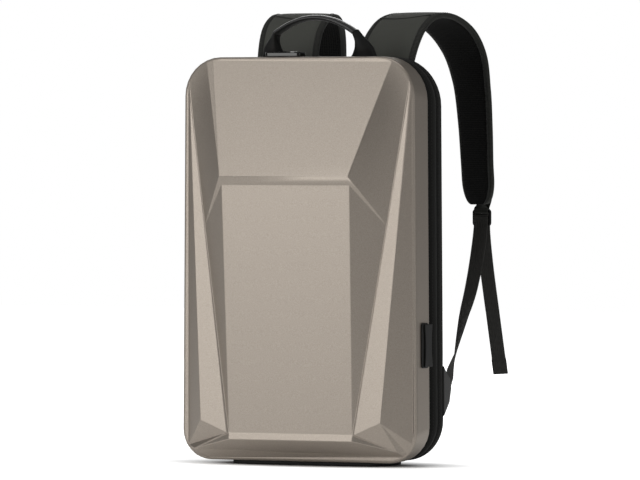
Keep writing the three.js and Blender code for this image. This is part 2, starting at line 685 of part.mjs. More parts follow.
function addHandle() {
  const seamX = HANDLE_SPAN / 2;
  const steps = 16;
  const sag = (x) => HANDLE_SEAM_DROP * (x / seamX) ** 2;
  const stations = Array.from({ length: steps + 1 }, (_, i) => {
    const x = THREE.MathUtils.lerp(-seamX, seamX, i / steps);
    const slope = (-2 * HANDLE_SEAM_DROP * x) / seamX ** 2;
    const tangent = new THREE.Vector3(1, 0, slope).normalize();
    return {
      at: new THREE.Vector3(x, HANDLE_FEET_Y - HANDLE_LEAN, GRIP_Z - sag(x)),
      across: new THREE.Vector3(0, GRIP_WIDTH / 2, 0),
      thick: new THREE.Vector3(-tangent.z, 0, tangent.x).multiplyScalar(GRIP_THICKNESS / 2),
    };
  });
  addPiece("handle_grip", sweep(stations, OVAL_SECTION), "fabric");

  const seamZ = GRIP_Z - HANDLE_SEAM_DROP;
  const footZ = BODY_TOP_Z + GAP;
  const endTilt = Math.atan2(seamX, 2 * HANDLE_SEAM_DROP);
  const foot = FOOT_STATIONS.map(({ down, out, length, width }) => {
    const tilt = endTilt * (1 - down);
    const level = new THREE.Vector3(Math.cos(tilt), 0, Math.sin(tilt));
    return {
      at: new THREE.Vector3(
        seamX + GAP + out * FOOT_OFFSET,
        HANDLE_FEET_Y - HANDLE_LEAN * (1 - down),
        seamZ - down * (seamZ - footZ),
      ),
      across: new THREE.Vector3(0, (width * FOOT_WIDTH) / 2, 0),
      thick: level.multiplyScalar((length * FOOT_LENGTH) / 2),
    };
  });
  addPair("handle_foot", sweep(foot, OVAL_SECTION), "rubber");
}

// Where the body's straight right side is at a height, and how far it leans over to +X from upright
function bodySide(y, z) {
  const ring = bodyOutline(0, y);
  const low = ring[CORNER_STEPS];
  const high = ring[CORNER_STEPS + 1];
  const share = (z - low.z) / (high.z - low.z);
  return {
    x: THREE.MathUtils.lerp(low.x, high.x, share),
    lean: Math.atan2(high.x - low.x, high.z - low.z),
  };
}

// The port's frame lies on the shell's right wall, and its cover lies on the frame and over the zip
function addPort() {
  const frameY = RIM_Y + PORT_SETBACK + PORT_FRAME_WIDTH / 2;
  const middleZ = PORT_FROM_BASE + PORT_HEIGHT / 2;
  const side = bodySide(frameY, middleZ);
  const onSide = (shape, thickness, standoff, middleY) =>
    plate(shape, thickness, 0.4)
      .rotateY(Math.PI / 2)
      .rotateX(Math.PI / 2)
      .translate(standoff, 0, 0)
      .rotateY(side.lean)
      .translate(side.x, middleY, middleZ);
  const rim = roundedRectangle(PORT_FRAME_WIDTH, PORT_HEIGHT, 3);
  addPiece("port_frame", onSide(rim, PORT_FRAME_THICKNESS, GAP, frameY), "rubber");

  const halfWidth = PORT_COVER_WIDTH / 2;
  const halfHeight = PORT_HEIGHT / 2 - PORT_COVER_MARGIN;
  const waist = new THREE.Shape();
  waist.moveTo(-halfWidth, -halfHeight);
  waist.lineTo(halfWidth, -halfHeight);
  waist.quadraticCurveTo(halfWidth - 2 * PORT_WAIST, 0, halfWidth, halfHeight);
  waist.lineTo(-halfWidth, halfHeight);
  waist.quadraticCurveTo(-halfWidth + 2 * PORT_WAIST, 0, -halfWidth, -halfHeight);
  const coverStandoff = GAP + PORT_FRAME_THICKNESS + GAP;
  const coverY = RIM_Y + PORT_SETBACK + PORT_COVER_SETBACK + halfWidth;
  addPiece("port_cover", onSide(waist, PORT_COVER_THICKNESS, coverStandoff, coverY), "rubber");
}

// The middle line of the right strap, from its root on the back up, over and down to its lower end
const STRAP_CREST_Z = BODY_TOP_Z + STRAP_RISE;
const STRAP_END = new THREE.Vector3(
  STRAP_ROOT_X + STRAP_SPREAD,
  BACK_FACE_Y + GAP + STRAP_THICKNESS / 2 + STRAP_REACH,
  STRAP_CREST_Z - STRAP_HEIGHT,
);

function addStraps() {
  const rows = STRAP_ROUTE.map(({ out, up, across, twist }) => ({
    at: new THREE.Vector3(
      STRAP_ROOT_X + across * STRAP_SPREAD,
      STRAP_END.y - (1 - out) * STRAP_REACH,
      STRAP_END.z + up * STRAP_HEIGHT,
    ),
    twist,
  }));
  const width = (travelled, length) => {
    const left = Math.min(Math.max(length - travelled, 0) / STRAP_END_ROUND, 1);
    const round = Math.sqrt(1 - (1 - left) ** 2);
    return THREE.MathUtils.lerp(STRAP_END_WIDTH, STRAP_WIDTH, round) / 2;
  };
  const stations = routeStations(rows, 4, width, () => STRAP_THICKNESS / 2);
  addPair("strap", sweep(stations, PAD_SECTION), "strap");
}

// The buckle's loop is sewn to the strap's rear face, and the buckle hangs from it below the strap's lower end
const UPRIGHT = new THREE.Vector3(0, 0, 1);
const STRAP_TURN = STRAP_ROUTE[STRAP_ROUTE.length - 1].twist;
const STRAP_ACROSS = new THREE.Vector3(1, 0, 0).applyAxisAngle(UPRIGHT, -THREE.MathUtils.degToRad(STRAP_TURN));
const STRAP_REARWARD = new THREE.Vector3().crossVectors(UPRIGHT, STRAP_ACROSS);
const LOOP_SEAT = STRAP_END.clone()
  .addScaledVector(STRAP_ACROSS, -LOOP_OFFSET)
  .addScaledVector(STRAP_REARWARD, STRAP_THICKNESS / 2 + GAP + LOOP_THICKNESS / 2);
const LOOP_STANDOFF = BUCKLE_THICKNESS / 2 + GAP + LOOP_THICKNESS / 2;
const BUCKLE = new THREE.Vector3(LOOP_SEAT.x, LOOP_SEAT.y + LOOP_STANDOFF, LOOP_SEAT.z - BUCKLE_DROP);
const BUCKLE_SLOT = (BUCKLE_HEIGHT - 3 * BUCKLE_BAR) / 2;

// Places a geometry made at the origin, with X across, Y back and Z up, where the right buckle is
function atBuckle(geometry) {
  return geometry.rotateZ(-THREE.MathUtils.degToRad(BUCKLE_TURN)).translate(BUCKLE.x, BUCKLE.y, BUCKLE.z);
}

function addBuckles() {
  const frame = plate(roundedRectangle(BUCKLE_WIDTH, BUCKLE_HEIGHT, 4), BUCKLE_THICKNESS, 0.8)
    .rotateX(Math.PI / 2)
    .translate(0, BUCKLE_THICKNESS / 2, 0);
  let buckle = solidOf(frame);
  for (const side of [-1, 1]) {
    const middle = (side * (BUCKLE_SLOT + BUCKLE_BAR)) / 2;
    const slot = box(
      [-WEBBING_WIDTH / 2 - 1, -BUCKLE_THICKNESS, middle - BUCKLE_SLOT / 2],
      [WEBBING_WIDTH / 2 + 1, BUCKLE_THICKNESS, middle + BUCKLE_SLOT / 2],
    );
    buckle = buckle.subtract(solidOf(slot));
  }
  addPair("buckle", atBuckle(geometryOf(buckle)), "plastic");

  // The loop runs down the strap's rear face, round the buckle's top bar and back up behind itself
  const bar = new THREE.Vector3(BUCKLE.x, BUCKLE.y, BUCKLE.z + BUCKLE_HEIGHT / 2 - BUCKLE_BAR / 2);
  const reachZ = BUCKLE_BAR / 2 + GAP + LOOP_THICKNESS / 2;
  const round = (degrees, swell = 1) => {
    const angle = THREE.MathUtils.degToRad(degrees);
    const back = -LOOP_STANDOFF * swell * Math.cos(angle);
    return new THREE.Vector3(bar.x, bar.y + back, bar.z - reachZ * swell * Math.sin(angle));
  };
  const besideBar = (side) =>
    new THREE.Vector3(bar.x, bar.y + side * LOOP_STANDOFF, BUCKLE.z + BUCKLE_HEIGHT / 2 + 1);
  const onStrap = (up, off) =>
    LOOP_SEAT.clone().addScaledVector(UPRIGHT, up).addScaledVector(STRAP_REARWARD, off);
  const rows = [
    { at: onStrap(LOOP_LENGTH, 0), twist: STRAP_TURN },
    { at: onStrap(0.5 * LOOP_LENGTH, 0), twist: STRAP_TURN },
    { at: onStrap(0, 0), twist: STRAP_TURN },
    { at: besideBar(-1), twist: BUCKLE_TURN },
    { at: round(0), twist: BUCKLE_TURN },
    { at: round(45, 1.25), twist: BUCKLE_TURN },
    { at: round(90), twist: BUCKLE_TURN },
    { at: round(135, 1.25), twist: BUCKLE_TURN },
    { at: round(180), twist: BUCKLE_TURN },
    { at: besideBar(1), twist: BUCKLE_TURN },
    { at: onStrap(0.3 * LOOP_LENGTH, LOOP_BULGE), twist: STRAP_TURN },
    { at: onStrap(0.6 * LOOP_LENGTH, 0.75 * LOOP_BULGE), twist: STRAP_TURN },
    { at: onStrap(LOOP_LENGTH, LOOP_THICKNESS + 0.4), twist: STRAP_TURN },
  ];
  const half = () => LOOP_WIDTH / 2;
  const thin = () => LOOP_THICKNESS / 2;
  addPair("buckle_loop", sweep(routeStations(rows, 2, half, thin), FLAT_SECTION), "strap");
}

// The anchor tab stands on the seam behind the rear band, along the body's side
const TAB_MIDDLE_Z = TAB_FROM_BASE + TAB_HEIGHT / 2;
const TAB_SIDE = bodySide(BACK_FRONT_Y, TAB_MIDDLE_Z);
const TAB_OUTLINE = [
  { back: 0, up: 0 },
  { back: 0.75, up: 0.27 },
  { back: 1, up: 0.55 },
  { back: 0.86, up: 0.74 },
  { back: 0.5, up: 0.82 },
  { back: 0, up: 1 },
];

function addTabs() {
  const shape = new THREE.Shape(
    TAB_OUTLINE.map(({ back, up }) => new THREE.Vector2(back * TAB_REACH, up * TAB_HEIGHT)),
  );
  const tab = plate(shape, TAB_THICKNESS)
    .rotateX(Math.PI / 2)
    .rotateZ(Math.PI / 2)
    .translate(-TAB_INSET, 0, -TAB_HEIGHT / 2)
    .rotateY(TAB_SIDE.lean)
    .translate(TAB_SIDE.x, BACK_FRONT_Y + GAP, TAB_MIDDLE_Z);
  addPair("anchor_tab", tab, "fabric");
}

// The webbing rises from the inside of the tab to the buckle, and turns from edge on to face on as it goes
function addWebbing() {
  const barZ = BUCKLE.z - BUCKLE_HEIGHT / 2 + BUCKLE_BAR / 2;
  const front = BUCKLE.y - BUCKLE_THICKNESS / 2 - GAP - WEBBING_THICKNESS / 2;
  const footX = TAB_SIDE.x - TAB_INSET - GAP - WEBBING_THICKNESS / 2;
  const footY = BACK_FRONT_Y + 0.62 * TAB_REACH;
  const rise = barZ + BUCKLE_BAR - TAB_MIDDLE_Z;
  const back = front - footY;
  const inward = footX - BUCKLE.x;
  const besideTab = -Math.tan(TAB_SIDE.lean) * 0.1 * rise / inward;
  const place = (across, out, up) =>
    new THREE.Vector3(footX - across * inward, footY + out * back, TAB_MIDDLE_Z + up * rise);
  const rows = [
    { at: place(0, 0, 0), twist: 90 },
    { at: place(besideTab, 0.06, 0.1), twist: 90 },
    { at: place(besideTab + 0.06, 0.16, 0.2), twist: 68 },
    { at: place(0.39, 0.44, 0.41), twist: 45 },
    { at: place(0.73, 0.73, 0.61), twist: 22 },
    { at: place(0.96, 0.94, 0.84), twist: BUCKLE_TURN },
    { at: place(1, 1, 1), twist: BUCKLE_TURN },
  ];
  const half = () => WEBBING_WIDTH / 2;
  const thin = () => WEBBING_THICKNESS / 2;
  addPair("webbing", sweep(routeStations(rows, 4, half, thin), FLAT_SECTION), "webbing");

  const rear = BUCKLE.y + BUCKLE_THICKNESS / 2 + GAP + WEBBING_THICKNESS / 2;
  const top = BUCKLE.z - BUCKLE_BAR / 2;
  const hang = (share, drop) =>
    new THREE.Vector3(
      BUCKLE.x + share * TAIL_SWING_OUT,
      rear + share * TAIL_SWING_BACK,
      top - drop * TAIL_LENGTH,
    );
  const tailRows = [
    { at: hang(0, 0), twist: BUCKLE_TURN },
    { at: hang(0.02, 0.08), twist: BUCKLE_TURN },
    { at: hang(0.2, 0.3), twist: BUCKLE_TURN },
    { at: hang(0.6, 0.65), twist: BUCKLE_TURN },
    { at: hang(1, 1), twist: BUCKLE_TURN },
  ];
  const tailThickness = (travelled, length) =>
    (length - travelled > TAIL_END_LENGTH ? WEBBING_THICKNESS : TAIL_END_THICKNESS) / 2;
  addPair("webbing_tail", sweep(routeStations(tailRows, 5, half, tailThickness), FLAT_SECTION), "webbing");
}

addFrontShell();
addZip();
addBody();
addLock();
addPullers();
addHandle();
addPort();
addStraps();
addBuckles();
addTabs();
addWebbing();

export default bag;
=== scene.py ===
import math

import bmesh
import bpy
from mathutils import Matrix, Vector


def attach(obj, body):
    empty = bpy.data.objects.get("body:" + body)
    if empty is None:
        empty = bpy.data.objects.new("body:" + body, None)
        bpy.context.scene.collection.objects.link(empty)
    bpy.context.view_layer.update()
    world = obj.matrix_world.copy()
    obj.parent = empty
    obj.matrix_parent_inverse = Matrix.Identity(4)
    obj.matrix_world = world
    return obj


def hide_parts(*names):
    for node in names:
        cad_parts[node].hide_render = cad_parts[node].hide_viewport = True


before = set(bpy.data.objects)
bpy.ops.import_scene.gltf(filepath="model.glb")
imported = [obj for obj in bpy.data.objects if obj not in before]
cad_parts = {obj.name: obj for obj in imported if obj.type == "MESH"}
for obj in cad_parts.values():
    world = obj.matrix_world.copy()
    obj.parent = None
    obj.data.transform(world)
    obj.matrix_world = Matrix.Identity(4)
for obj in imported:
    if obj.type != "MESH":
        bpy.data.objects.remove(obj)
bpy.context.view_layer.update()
scene = bpy.context.scene

# The body's outline seen from the front, as in the solids
RIM_Y = -0.050
BAND_REAR_Y = 0.0248
BODY_BASE_Z = 0.005
BODY_TOP_Z = 0.463
BODY_WIDTH_BOTTOM = 0.292
BODY_WIDTH_TOP = 0.287
BOTTOM_CORNER_RADIUS = 0.034
TOP_CORNER_RADIUS = 0.044
REAR_CORNER_GROWTH = 0.012
CORNER_STEPS = 12
SIDE_STEPS = 24
END_STEPS = 14

# Along the depth of the bag
ZIP_FRONT_Y = -0.0097
ZIP_REAR_Y = -0.0023
GUSSET_FRONT_Y = -0.002
GUSSET_REAR_Y = 0.013
BAND_FRONT_Y = 0.0133
BACK_FRONT_Y = 0.0251
BACK_FACE_Y = 0.0421

# Front shell: its solids, and the planes where they part
SHELL_NODES = ["shell_wall", "shell_front_upper", "shell_front_lower"]
WALL_FRONT_Y = -0.047
RIDGE_Z = 0.32789
VALLEY_SHARE = 0.593
RIDGE_END_X = 0.080008
FLANK_FOOT = Vector((0.076942, -0.071995, 0.03706))
RIM_CORNER_STEPS = 8
APEX_STEP = 2
TRAPEZOID_STEP = 6
RAIL_PARTS = 8
RIDGE_PARTS = 4
CREASE_ROUND = 0.0009
RELIEF_HEIGHT = 0.0415
RIM_INSET = 0.0025

# Zip
ZIP_TAPE_INSET = 0.0048
ZIP_TAPE_THICKNESS = 0.0018
TEETH_INSET = 0.0032
TEETH_PITCH = 0.002
TOOTH_SIZE = (0.0013, 0.0028, 0.0012)
TOOTH_OFFSET = 0.0007

# Sewing
STITCH_PITCH = 0.0036
STITCH_LENGTH = 0.0026
THREAD_RADIUS = 0.00035
PIPING_RADIUS = 0.0011

# Back pads: two long ones and a narrow one between them, with sewn channels across the long ones
PAD_WIDTH = 0.093
PAD_HEIGHT = 0.386
PAD_CORNER = 0.022
PAD_MIDDLE_X = 0.0615
PAD_MIDDLE_Z = 0.252
PAD_CHANNELS = [-0.13, -0.065, 0, 0.065, 0.13]
PAD_EDGE_ROUND = 0.011
CHANNEL_REACH = 0.0028
CHANNEL_DEPTH_SHARE = 0.45
CENTRE_PAD_WIDTH = 0.022
CENTRE_PAD_CORNER = 0.010
CENTRE_RISE_SHARE = 0.55
PAD_BASE_DEPTH = 0.0112
PAD_TUCK = 0.0012
PAD_CELL_WIDTH = 0.004
PAD_CELL_HEIGHT = 0.003

# Surface grain, in metres
FLAKE_SIZE = 0.0009
FLAKE_DEPTH = 0.00012
WEAVE_DEPTH = 0.00025
MESH_CELL = 0.0026
MESH_DEPTH = 0.0006

# Shoulder strap, right side
STRAP_WIDTH = 0.075
STRAP_THICKNESS = 0.008
STRAP_END_ROUND = 0.030
STRAP_END_WIDTH = 0.032
STRAP_END = Vector((0.1065, 0.2194, 0.294))
STRAP_SPREAD = 0.0505
STRAP_REACH = 0.173
STRAP_HEIGHT = 0.218
STRAP_ROUTE = [
    (0, 0.463, 0, 0),
    (0.002, 0.601, 0.04, 0),
    (0.04, 0.766, 0.111, 3),
    (0.165, 0.917, 0.2, 7),
    (0.345, 0.989, 0.27, 10),
    (0.576, 0.991, 0.42, 13),
    (0.778, 0.917, 0.634, 20),
    (0.894, 0.798, 0.792, 27),
    (0.951, 0.633, 0.881, 34),
    (0.977, 0.417, 0.931, 37),
    (0.991, 0.211, 0.955, 39),
    (1, 0, 1, 39),
]

# Buckle, its loop, the webbing and the anchor tab, right side
CLEARANCE = 0.0003
WEBBING_WIDTH = 0.019
WEBBING_THICKNESS = 0.0016
WEBBING_SLACK = 0.0013
WEBBING_RIBS = 8
RIB_DEPTH = 0.0002
BUCKLE_HEIGHT = 0.020
BUCKLE_THICKNESS = 0.0036
BUCKLE_BAR = 0.0034
BUCKLE_DROP = 0.0155
BUCKLE_TURN = 10
LOOP_WIDTH = 0.019
LOOP_THICKNESS = 0.0016
LOOP_LENGTH = 0.028
LOOP_OFFSET = 0.006
LOOP_BULGE = 0.009
TAIL_LENGTH = 0.181
TAIL_SWING_OUT = 0.014
TAIL_SWING_BACK = 0.020
TAIL_END_LENGTH = 0.017
TAIL_END_THICKNESS = 0.0034
FOLD_MARGIN = 0.0006
TAB_REACH = 0.021
TAB_HEIGHT = 0.057
TAB_FROM_BASE = 0.056
TAB_X = 0.1449

# Top handle
GRIP_Z = 0.508
GRIP_Y = -0.002
GRIP_WIDTH = 0.020
GRIP_THICKNESS = 0.0064
HANDLE_SEAM_X = 0.049
HANDLE_SEAM_DROP = 0.017
FEET_Y = 0.007
FOOT_LENGTH = 0.032
FOOT_WIDTH = 0.017
FOOT_OFFSET = 0.0065
FOOT_STATIONS = [
    (0, 0, 0.25, 1),
    (0.25, 0.45, 0.36, 0.9),
    (0.5, 0.8, 0.6, 0.95),
    (0.75, 1, 0.86, 1),
    (1, 1, 1, 1),
]


def linear(colour):
    """An sRGB hex colour as linear red, green, blue and alpha."""
    shares = [int(colour[i : i + 2], 16) / 255 for i in (1, 3, 5)]
    return [c / 12.92 if c <= 0.04045 else ((c + 0.055) / 1.055) ** 2.4 for c in shares] + [1]


# Materials


def add_node(tree, kind, inputs=None, **settings):
    """Adds a shader node. A socket's input is a value, or another node's output to link."""
    node = tree.nodes.new("ShaderNode" + kind)
    for name, value in settings.items():
        setattr(node, name, value)
    for name, value in (inputs or {}).items():
        if isinstance(value, bpy.types.NodeSocket):
            tree.links.new(value, node.inputs[name])
        else:
            node.inputs[name].default_value = value
    return node


def start_material(name, **sockets):
    """A new material with one Principled shader, and its tree and shader."""
    material = bpy.data.materials.new(name)
    material.use_nodes = True
    tree = material.node_tree
    tree.nodes.clear()
    inputs = {name.replace("_", " "): value for name, value in sockets.items()}
    shader = add_node(tree, "BsdfPrincipled", inputs)
    add_node(tree, "OutputMaterial", {"Surface": shader.outputs["BSDF"]})
    return material, tree, shader


def show_pattern(tree, shader, height, dark, light, strength, depth, span=(0, 1)):
    """Lets a pattern's height set the colour between two tones over a span, and lift the surface."""
    tone = add_node(tree, "ValToRGB", {"Fac": height})
    for stop, position, colour in zip(tone.color_ramp.elements, span, (dark, light)):
        stop.position = position
        stop.color = linear(colour)
    bump = add_node(tree, "Bump", {"Height": height, "Strength": strength, "Distance": depth})
    tree.links.new(tone.outputs["Color"], shader.inputs["Base Color"])
    tree.links.new(bump.outputs["Normal"], shader.inputs["Normal"])


def coated_polycarbonate():
    """Vacuum-formed polycarbonate with a sprayed metallic coat. Its flakes give a satin sheen with a fine
    grain, drawn coarser than real flakes so that it shows."""
    material, tree, shader = start_material("Coated polycarbonate", Metallic=0.7, Roughness=0.4)
    place = add_node(tree, "TexCoord").outputs["Object"]
    inputs = {"Vector": place, "Scale": 1 / FLAKE_SIZE, "Detail": 2}
    flakes = add_node(tree, "TexNoise", inputs).outputs["Fac"]
    show_pattern(tree, shader, flakes, "#a3998e", "#b3a99e", 0.12, FLAKE_DEPTH, span=(0.3, 0.7))
    return material


def start_cloth(name, roughness, sheen):
    """A dull cloth with a soft sheen, and the output of its own UV map."""
    material, tree, shader = start_material(
        name, Roughness=roughness, Sheen_Weight=sheen, Sheen_Roughness=0.5, Specular_IOR_Level=0.2
    )
    return material, tree, shader, add_node(tree, "UVMap", uv_map="Cloth").outputs["UV"]


def add_ridges(tree, cloth, spacing, direction):
    """Waves across the cloth, spacing apart in metres. The node's bands repeat every pi / 10 at scale 1."""
    inputs = {"Vector": cloth, "Scale": math.pi / 10 / spacing}
    return add_node(tree, "TexWave", inputs, bands_direction=direction).outputs["Fac"]


def woven(name, dark, light, thread, roughness, sheen=0.06):
    """Plain-woven cloth. Warp and weft are two sets of ridges, thread apart in metres."""
    material, tree, shader, cloth = start_cloth(name, roughness, sheen)
    warp, weft = [add_ridges(tree, cloth, thread, direction) for direction in ("X", "Y")]
    weave = add_node(tree, "Math", {0: warp, 1: weft}, operation="MULTIPLY").outputs["Value"]
    show_pattern(tree, shader, weave, dark, light, 0.5, WEAVE_DEPTH)
    return material


def ribbed(name, dark, light, pitch, roughness, depth):
    """Woven tape with cross ribs, pitch apart in metres along its length."""
    material, tree, shader, cloth = start_cloth(name, roughness, 0.06)
    show_pattern(tree, shader, add_ridges(tree, cloth, pitch, "Y"), dark, light, 0.6, depth)
    return material


def spacer_mesh():
    """Knitted polyester spacer mesh: a dull black face, with open cells whose pits are darkened towards their
    middles as painted shade, and given a bump.
    """
    material, tree, shader = start_material("Knitted spacer mesh", Roughness=0.9, Specular_IOR_Level=0.1)
    cloth = add_node(tree, "UVMap", uv_map="Cloth").outputs["UV"]
    inputs = {"Vector": cloth, "Scale": 1 / MESH_CELL, "Randomness": 0.25}
    cells = add_node(tree, "TexVoronoi", inputs, voronoi_dimensions="2D").outputs["Distance"]
    # Painted shade: the tone goes from dark at each cell's middle, in its pit, to the face's black round it
    show_pattern(tree, shader, cells, "#080808", "#20201f", 0.5, MESH_DEPTH, span=(0.2, 0.5))
    return material


def grained(name, colour, roughness, grain, strength, **sockets):
    """A moulded or cast surface of one colour, with a fine grain of that size in metres."""
    material, tree, shader = start_material(name, Base_Color=linear(colour), Roughness=roughness, **sockets)
    place = add_node(tree, "TexCoord").outputs["Object"]
    noise = add_node(tree, "TexNoise", {"Vector": place, "Scale": 1 / grain, "Detail": 3}).outputs["Fac"]
    bump = add_node(tree, "Bump", {"Height": noise, "Strength": strength, "Distance": grain / 4})
    tree.links.new(bump.outputs["Normal"], shader.inputs["Normal"])
    return material


COAT = coated_polycarbonate()
# Tightly woven nylon oxford: dull black, with a dry sheen at grazing angles
OXFORD = woven("Woven nylon oxford", "#161614", "#20201e", 0.0012, 0.75)
# Twill-woven polyester tape of the zip: flat black
ZIP_TAPE = woven("Woven polyester tape", "#0c0c0b", "#141413", 0.001, 0.85, sheen=0.1)
# Nylon twill on the strap's outer face: charcoal with a soft sheen
STRAP_NYLON = woven("Nylon twill", "#4a4b46", "#5a5b55", 0.0012, 0.7)
# Grosgrain binding of the strap's edges: cross ribs
BINDING = ribbed("Grosgrain binding", "#20201e", "#3c3d39", 0.0016, 0.7, depth=0.0004)
# Nylon webbing: the weave's ribs are modelled, and the picks between them show as fine cross lines
WEBBING = ribbed("Nylon webbing", "#343432", "#4a4946", 0.0014, 0.65, depth=0.0002)
MESH = spacer_mesh()
# Moulded rubber: matt, with a faint skin
RUBBER = grained("Moulded rubber", "#171716", 0.5, 0.0012, 0.15, Specular_IOR_Level=0.35)
# Injection-moulded acetal: satin black
ACETAL = grained("Moulded acetal", "#121212", 0.55, 0.0015, 0.1, Specular_IOR_Level=0.25)
# Chrome plate on zinc die casting: a bright mirror with a faint ripple
CHROME = grained("Chrome plate", "#9a9a98", 0.14, 0.004, 0.05, Metallic=1)
# Black chrome plate on the lock's zinc casting: a darker mirror
BLACK_CHROME = grained("Black chrome plate", "#454544", 0.2, 0.004, 0.05, Metallic=1)
# Spun polyester sewing thread: dull, and a little lighter than the cloth
THREAD = grained("Spun polyester thread", "#2c2c2a", 0.8, 0.0006, 0.3)
# Smooth coated cloth of the grip: a soft highlight along its crown
GRIP_SKIN = grained("Coated grip cloth", "#0f0f0e", 0.3, 0.001, 0.25, Sheen_Weight=0.2)
# Oxford cloth of the anchor tabs: dull, with a grain in place of the weave
TAB_CLOTH = grained("Oxford patch", "#232321", 0.75, 0.0012, 0.4, Sheen_Weight=0.3)


# Shapes


def body_outline(inset, y):
    """The body's outline in the plane at y, drawn in by inset, anticlockwise seen from the front."""
    share = min(max((y - RIM_Y) / (BAND_REAR_Y - RIM_Y), 0), 1)
    low = BOTTOM_CORNER_RADIUS + REAR_CORNER_GROWTH * share
    high = TOP_CORNER_RADIUS + REAR_CORNER_GROWTH * share
    corners = [
        (BODY_WIDTH_BOTTOM / 2 - low, BODY_BASE_Z + low, low, -90, SIDE_STEPS),
        (BODY_WIDTH_TOP / 2 - high, BODY_TOP_Z - high, high, 0, END_STEPS),
        (-BODY_WIDTH_TOP / 2 + high, BODY_TOP_Z - high, high, 90, SIDE_STEPS),
        (-BODY_WIDTH_BOTTOM / 2 + low, BODY_BASE_Z + low, low, 180, END_STEPS),
    ]
    arcs = []
    for x, z, radius, start, _ in corners:
        turns = [math.radians(start + 90 * step / CORNER_STEPS) for step in range(CORNER_STEPS + 1)]
        r = radius - inset
        arcs.append([Vector((x + r * math.cos(a), y, z + r * math.sin(a))) for a in turns])
    points = []
    for i, arc in enumerate(arcs):
        following = arcs[(i + 1) % len(arcs)][0]
        steps = corners[i][4]
        points += arc + [arc[-1].lerp(following, step / steps) for step in range(1, steps)]
    return points


def running_lengths(points):
    """The distance travelled at each point of a polyline."""
    lengths = [0.0]
    for before, after in zip(points, points[1:]):
        lengths.append(lengths[-1] + (after - before).length)
    return lengths


def loft(rings, capped=True, finishes=None):
    """Lofts closed rings: the first ring's edges are extruded on to each next ring. The UV map Cloth gives
    metres round the ring and along the loft, and finishes a material number for each step round the ring."""
    shape = bmesh.new()
    cloth = shape.loops.layers.uv.new("Cloth")
    ring = [shape.verts.new(point) for point in rings[0]]
    first_edges = [shape.edges.new((ring[i - 1], ring[i])) for i in range(len(ring))]
    edges = first_edges
    place = {vert: (0, column) for column, vert in enumerate(ring)}
    for row, points in enumerate(rings[1:], 1):
        made = bmesh.ops.extrude_edge_only(shape, edges=edges)["geom"]
        fresh = {item for item in made if isinstance(item, bmesh.types.BMVert)}
        edges = [
            item for item in made if isinstance(item, bmesh.types.BMEdge) and fresh.issuperset(item.verts)
        ]
        above = {}
        for vert in fresh:
            for edge in vert.link_edges:
                below = edge.other_vert(vert)
                if below not in fresh:
                    above[below] = vert
        ring = [above[vert] for vert in ring]
        for column, (vert, point) in enumerate(zip(ring, points)):
            vert.co = point
            place[vert] = (row, column)
    count = len(ring)
    middle = rings[len(rings) // 2]
    around = running_lengths(list(middle) + [middle[0]])
    along = running_lengths([points[0] for points in rings])
    for face in shape.faces:
        columns = [place[vert][1] for vert in face.verts]
        wraps = max(columns) - min(columns) > 1
        for corner in face.loops:
            row, column = place[corner.vert]
            if wraps and column == 0:
                column = count
            corner[cloth].uv = (around[column], along[row])
        if finishes:
            face.material_index = finishes[max(columns) if wraps else min(columns)]
    if capped:
        bmesh.ops.contextual_create(shape, geom=first_edges)
        bmesh.ops.contextual_create(shape, geom=edges)
    return shape


def at_cut(place):
    """Whether a point lies in the gap between two of the shell's solids."""
    across_wall = WALL_FRONT_Y - 1e-5 < place.y < WALL_FRONT_Y + CLEARANCE + 1e-5
    return across_wall or abs(place.z - RIDGE_Z) < CLEARANCE / 2 + 1e-5


def join_flat_faces(shape, degrees):
    """Joins neighbouring faces that turn by less than an angle."""
    angle = math.radians(degrees)
    bmesh.ops.dissolve_limit(
        shape, angle_limit=angle, verts=shape.verts, edges=shape.edges, use_dissolve_boundaries=False
    )


def copy_of(node):
    """A CAD node's shape with its loose triangles joined, and flat faces made whole."""
    shape = bmesh.new()
    shape.from_mesh(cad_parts[node].data)
    bmesh.ops.remove_doubles(shape, verts=shape.verts, dist=2e-6)
    join_flat_faces(shape, 0.5)
    return shape


def round_edges(shape, edges, width, segments, clamp):
    """Gives edges a round of a width."""
    bmesh.ops.bevel(
        shape,
        geom=edges,
        offset=width,
        offset_type="OFFSET",
        segments=segments,
        profile=0.5,
        affect="EDGES",
        material=-1,
        clamp_overlap=clamp,
    )


def soften(shape, width, segments=2, angle=25):
    """Rounds the edges that turn by more than an angle in degrees."""
    turn = math.radians(angle)
    edges = [edge for edge in shape.edges if len(edge.link_faces) == 2 and edge.calc_face_angle() > turn]
    round_edges(shape, edges, width, segments, clamp=True)


def add_piece(name, shape, materials, slot=None, nodes=(), body="bag", sharp=40, levels=0, weighted=False):
    """Makes a piece of a shape, which rides on a body and stands for its nodes."""
    for face in shape.faces:
        face.smooth = True
    for edge in shape.edges:
        if len(edge.link_faces) == 2 and edge.calc_face_angle() > math.radians(sharp):
            edge.smooth = False
    mesh = bpy.data.meshes.new(name)
    shape.to_mesh(mesh)
    shape.free()
    for material in materials:
        mesh.materials.append(material)
    piece = bpy.data.objects.new(name, mesh)
    scene.collection.objects.link(piece)
    if levels:
        modifier = piece.modifiers.new("Subdivision", "SUBSURF")
        modifier.levels = levels
        modifier.render_levels = levels
    if weighted:
        piece.modifiers.new("Weighted normal", "WEIGHTED_NORMAL").keep_sharp = True
    if nodes:
        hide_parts(*nodes)
    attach(piece, body)
    return piece


def add_pair(name, shape, materials, nodes=(), **settings):
    """Makes a piece of the right side and its mirror image on the left."""
    other = shape.copy()
    bmesh.ops.scale(other, vec=(-1, 1, 1), verts=other.verts)
    bmesh.ops.reverse_faces(other, faces=other.faces)
    pair = []
    for side, form in (("right", shape), ("left", other)):
        sided = [f"{node}_{side}" for node in nodes]
        pair.append(add_piece(f"{name}_{side}", form, materials, nodes=sided, **settings))
    return pair


def outward(shape):
    """Turns a shape's faces outwards."""
    bmesh.ops.recalc_face_normals(shape, faces=shape.faces)
    return shape


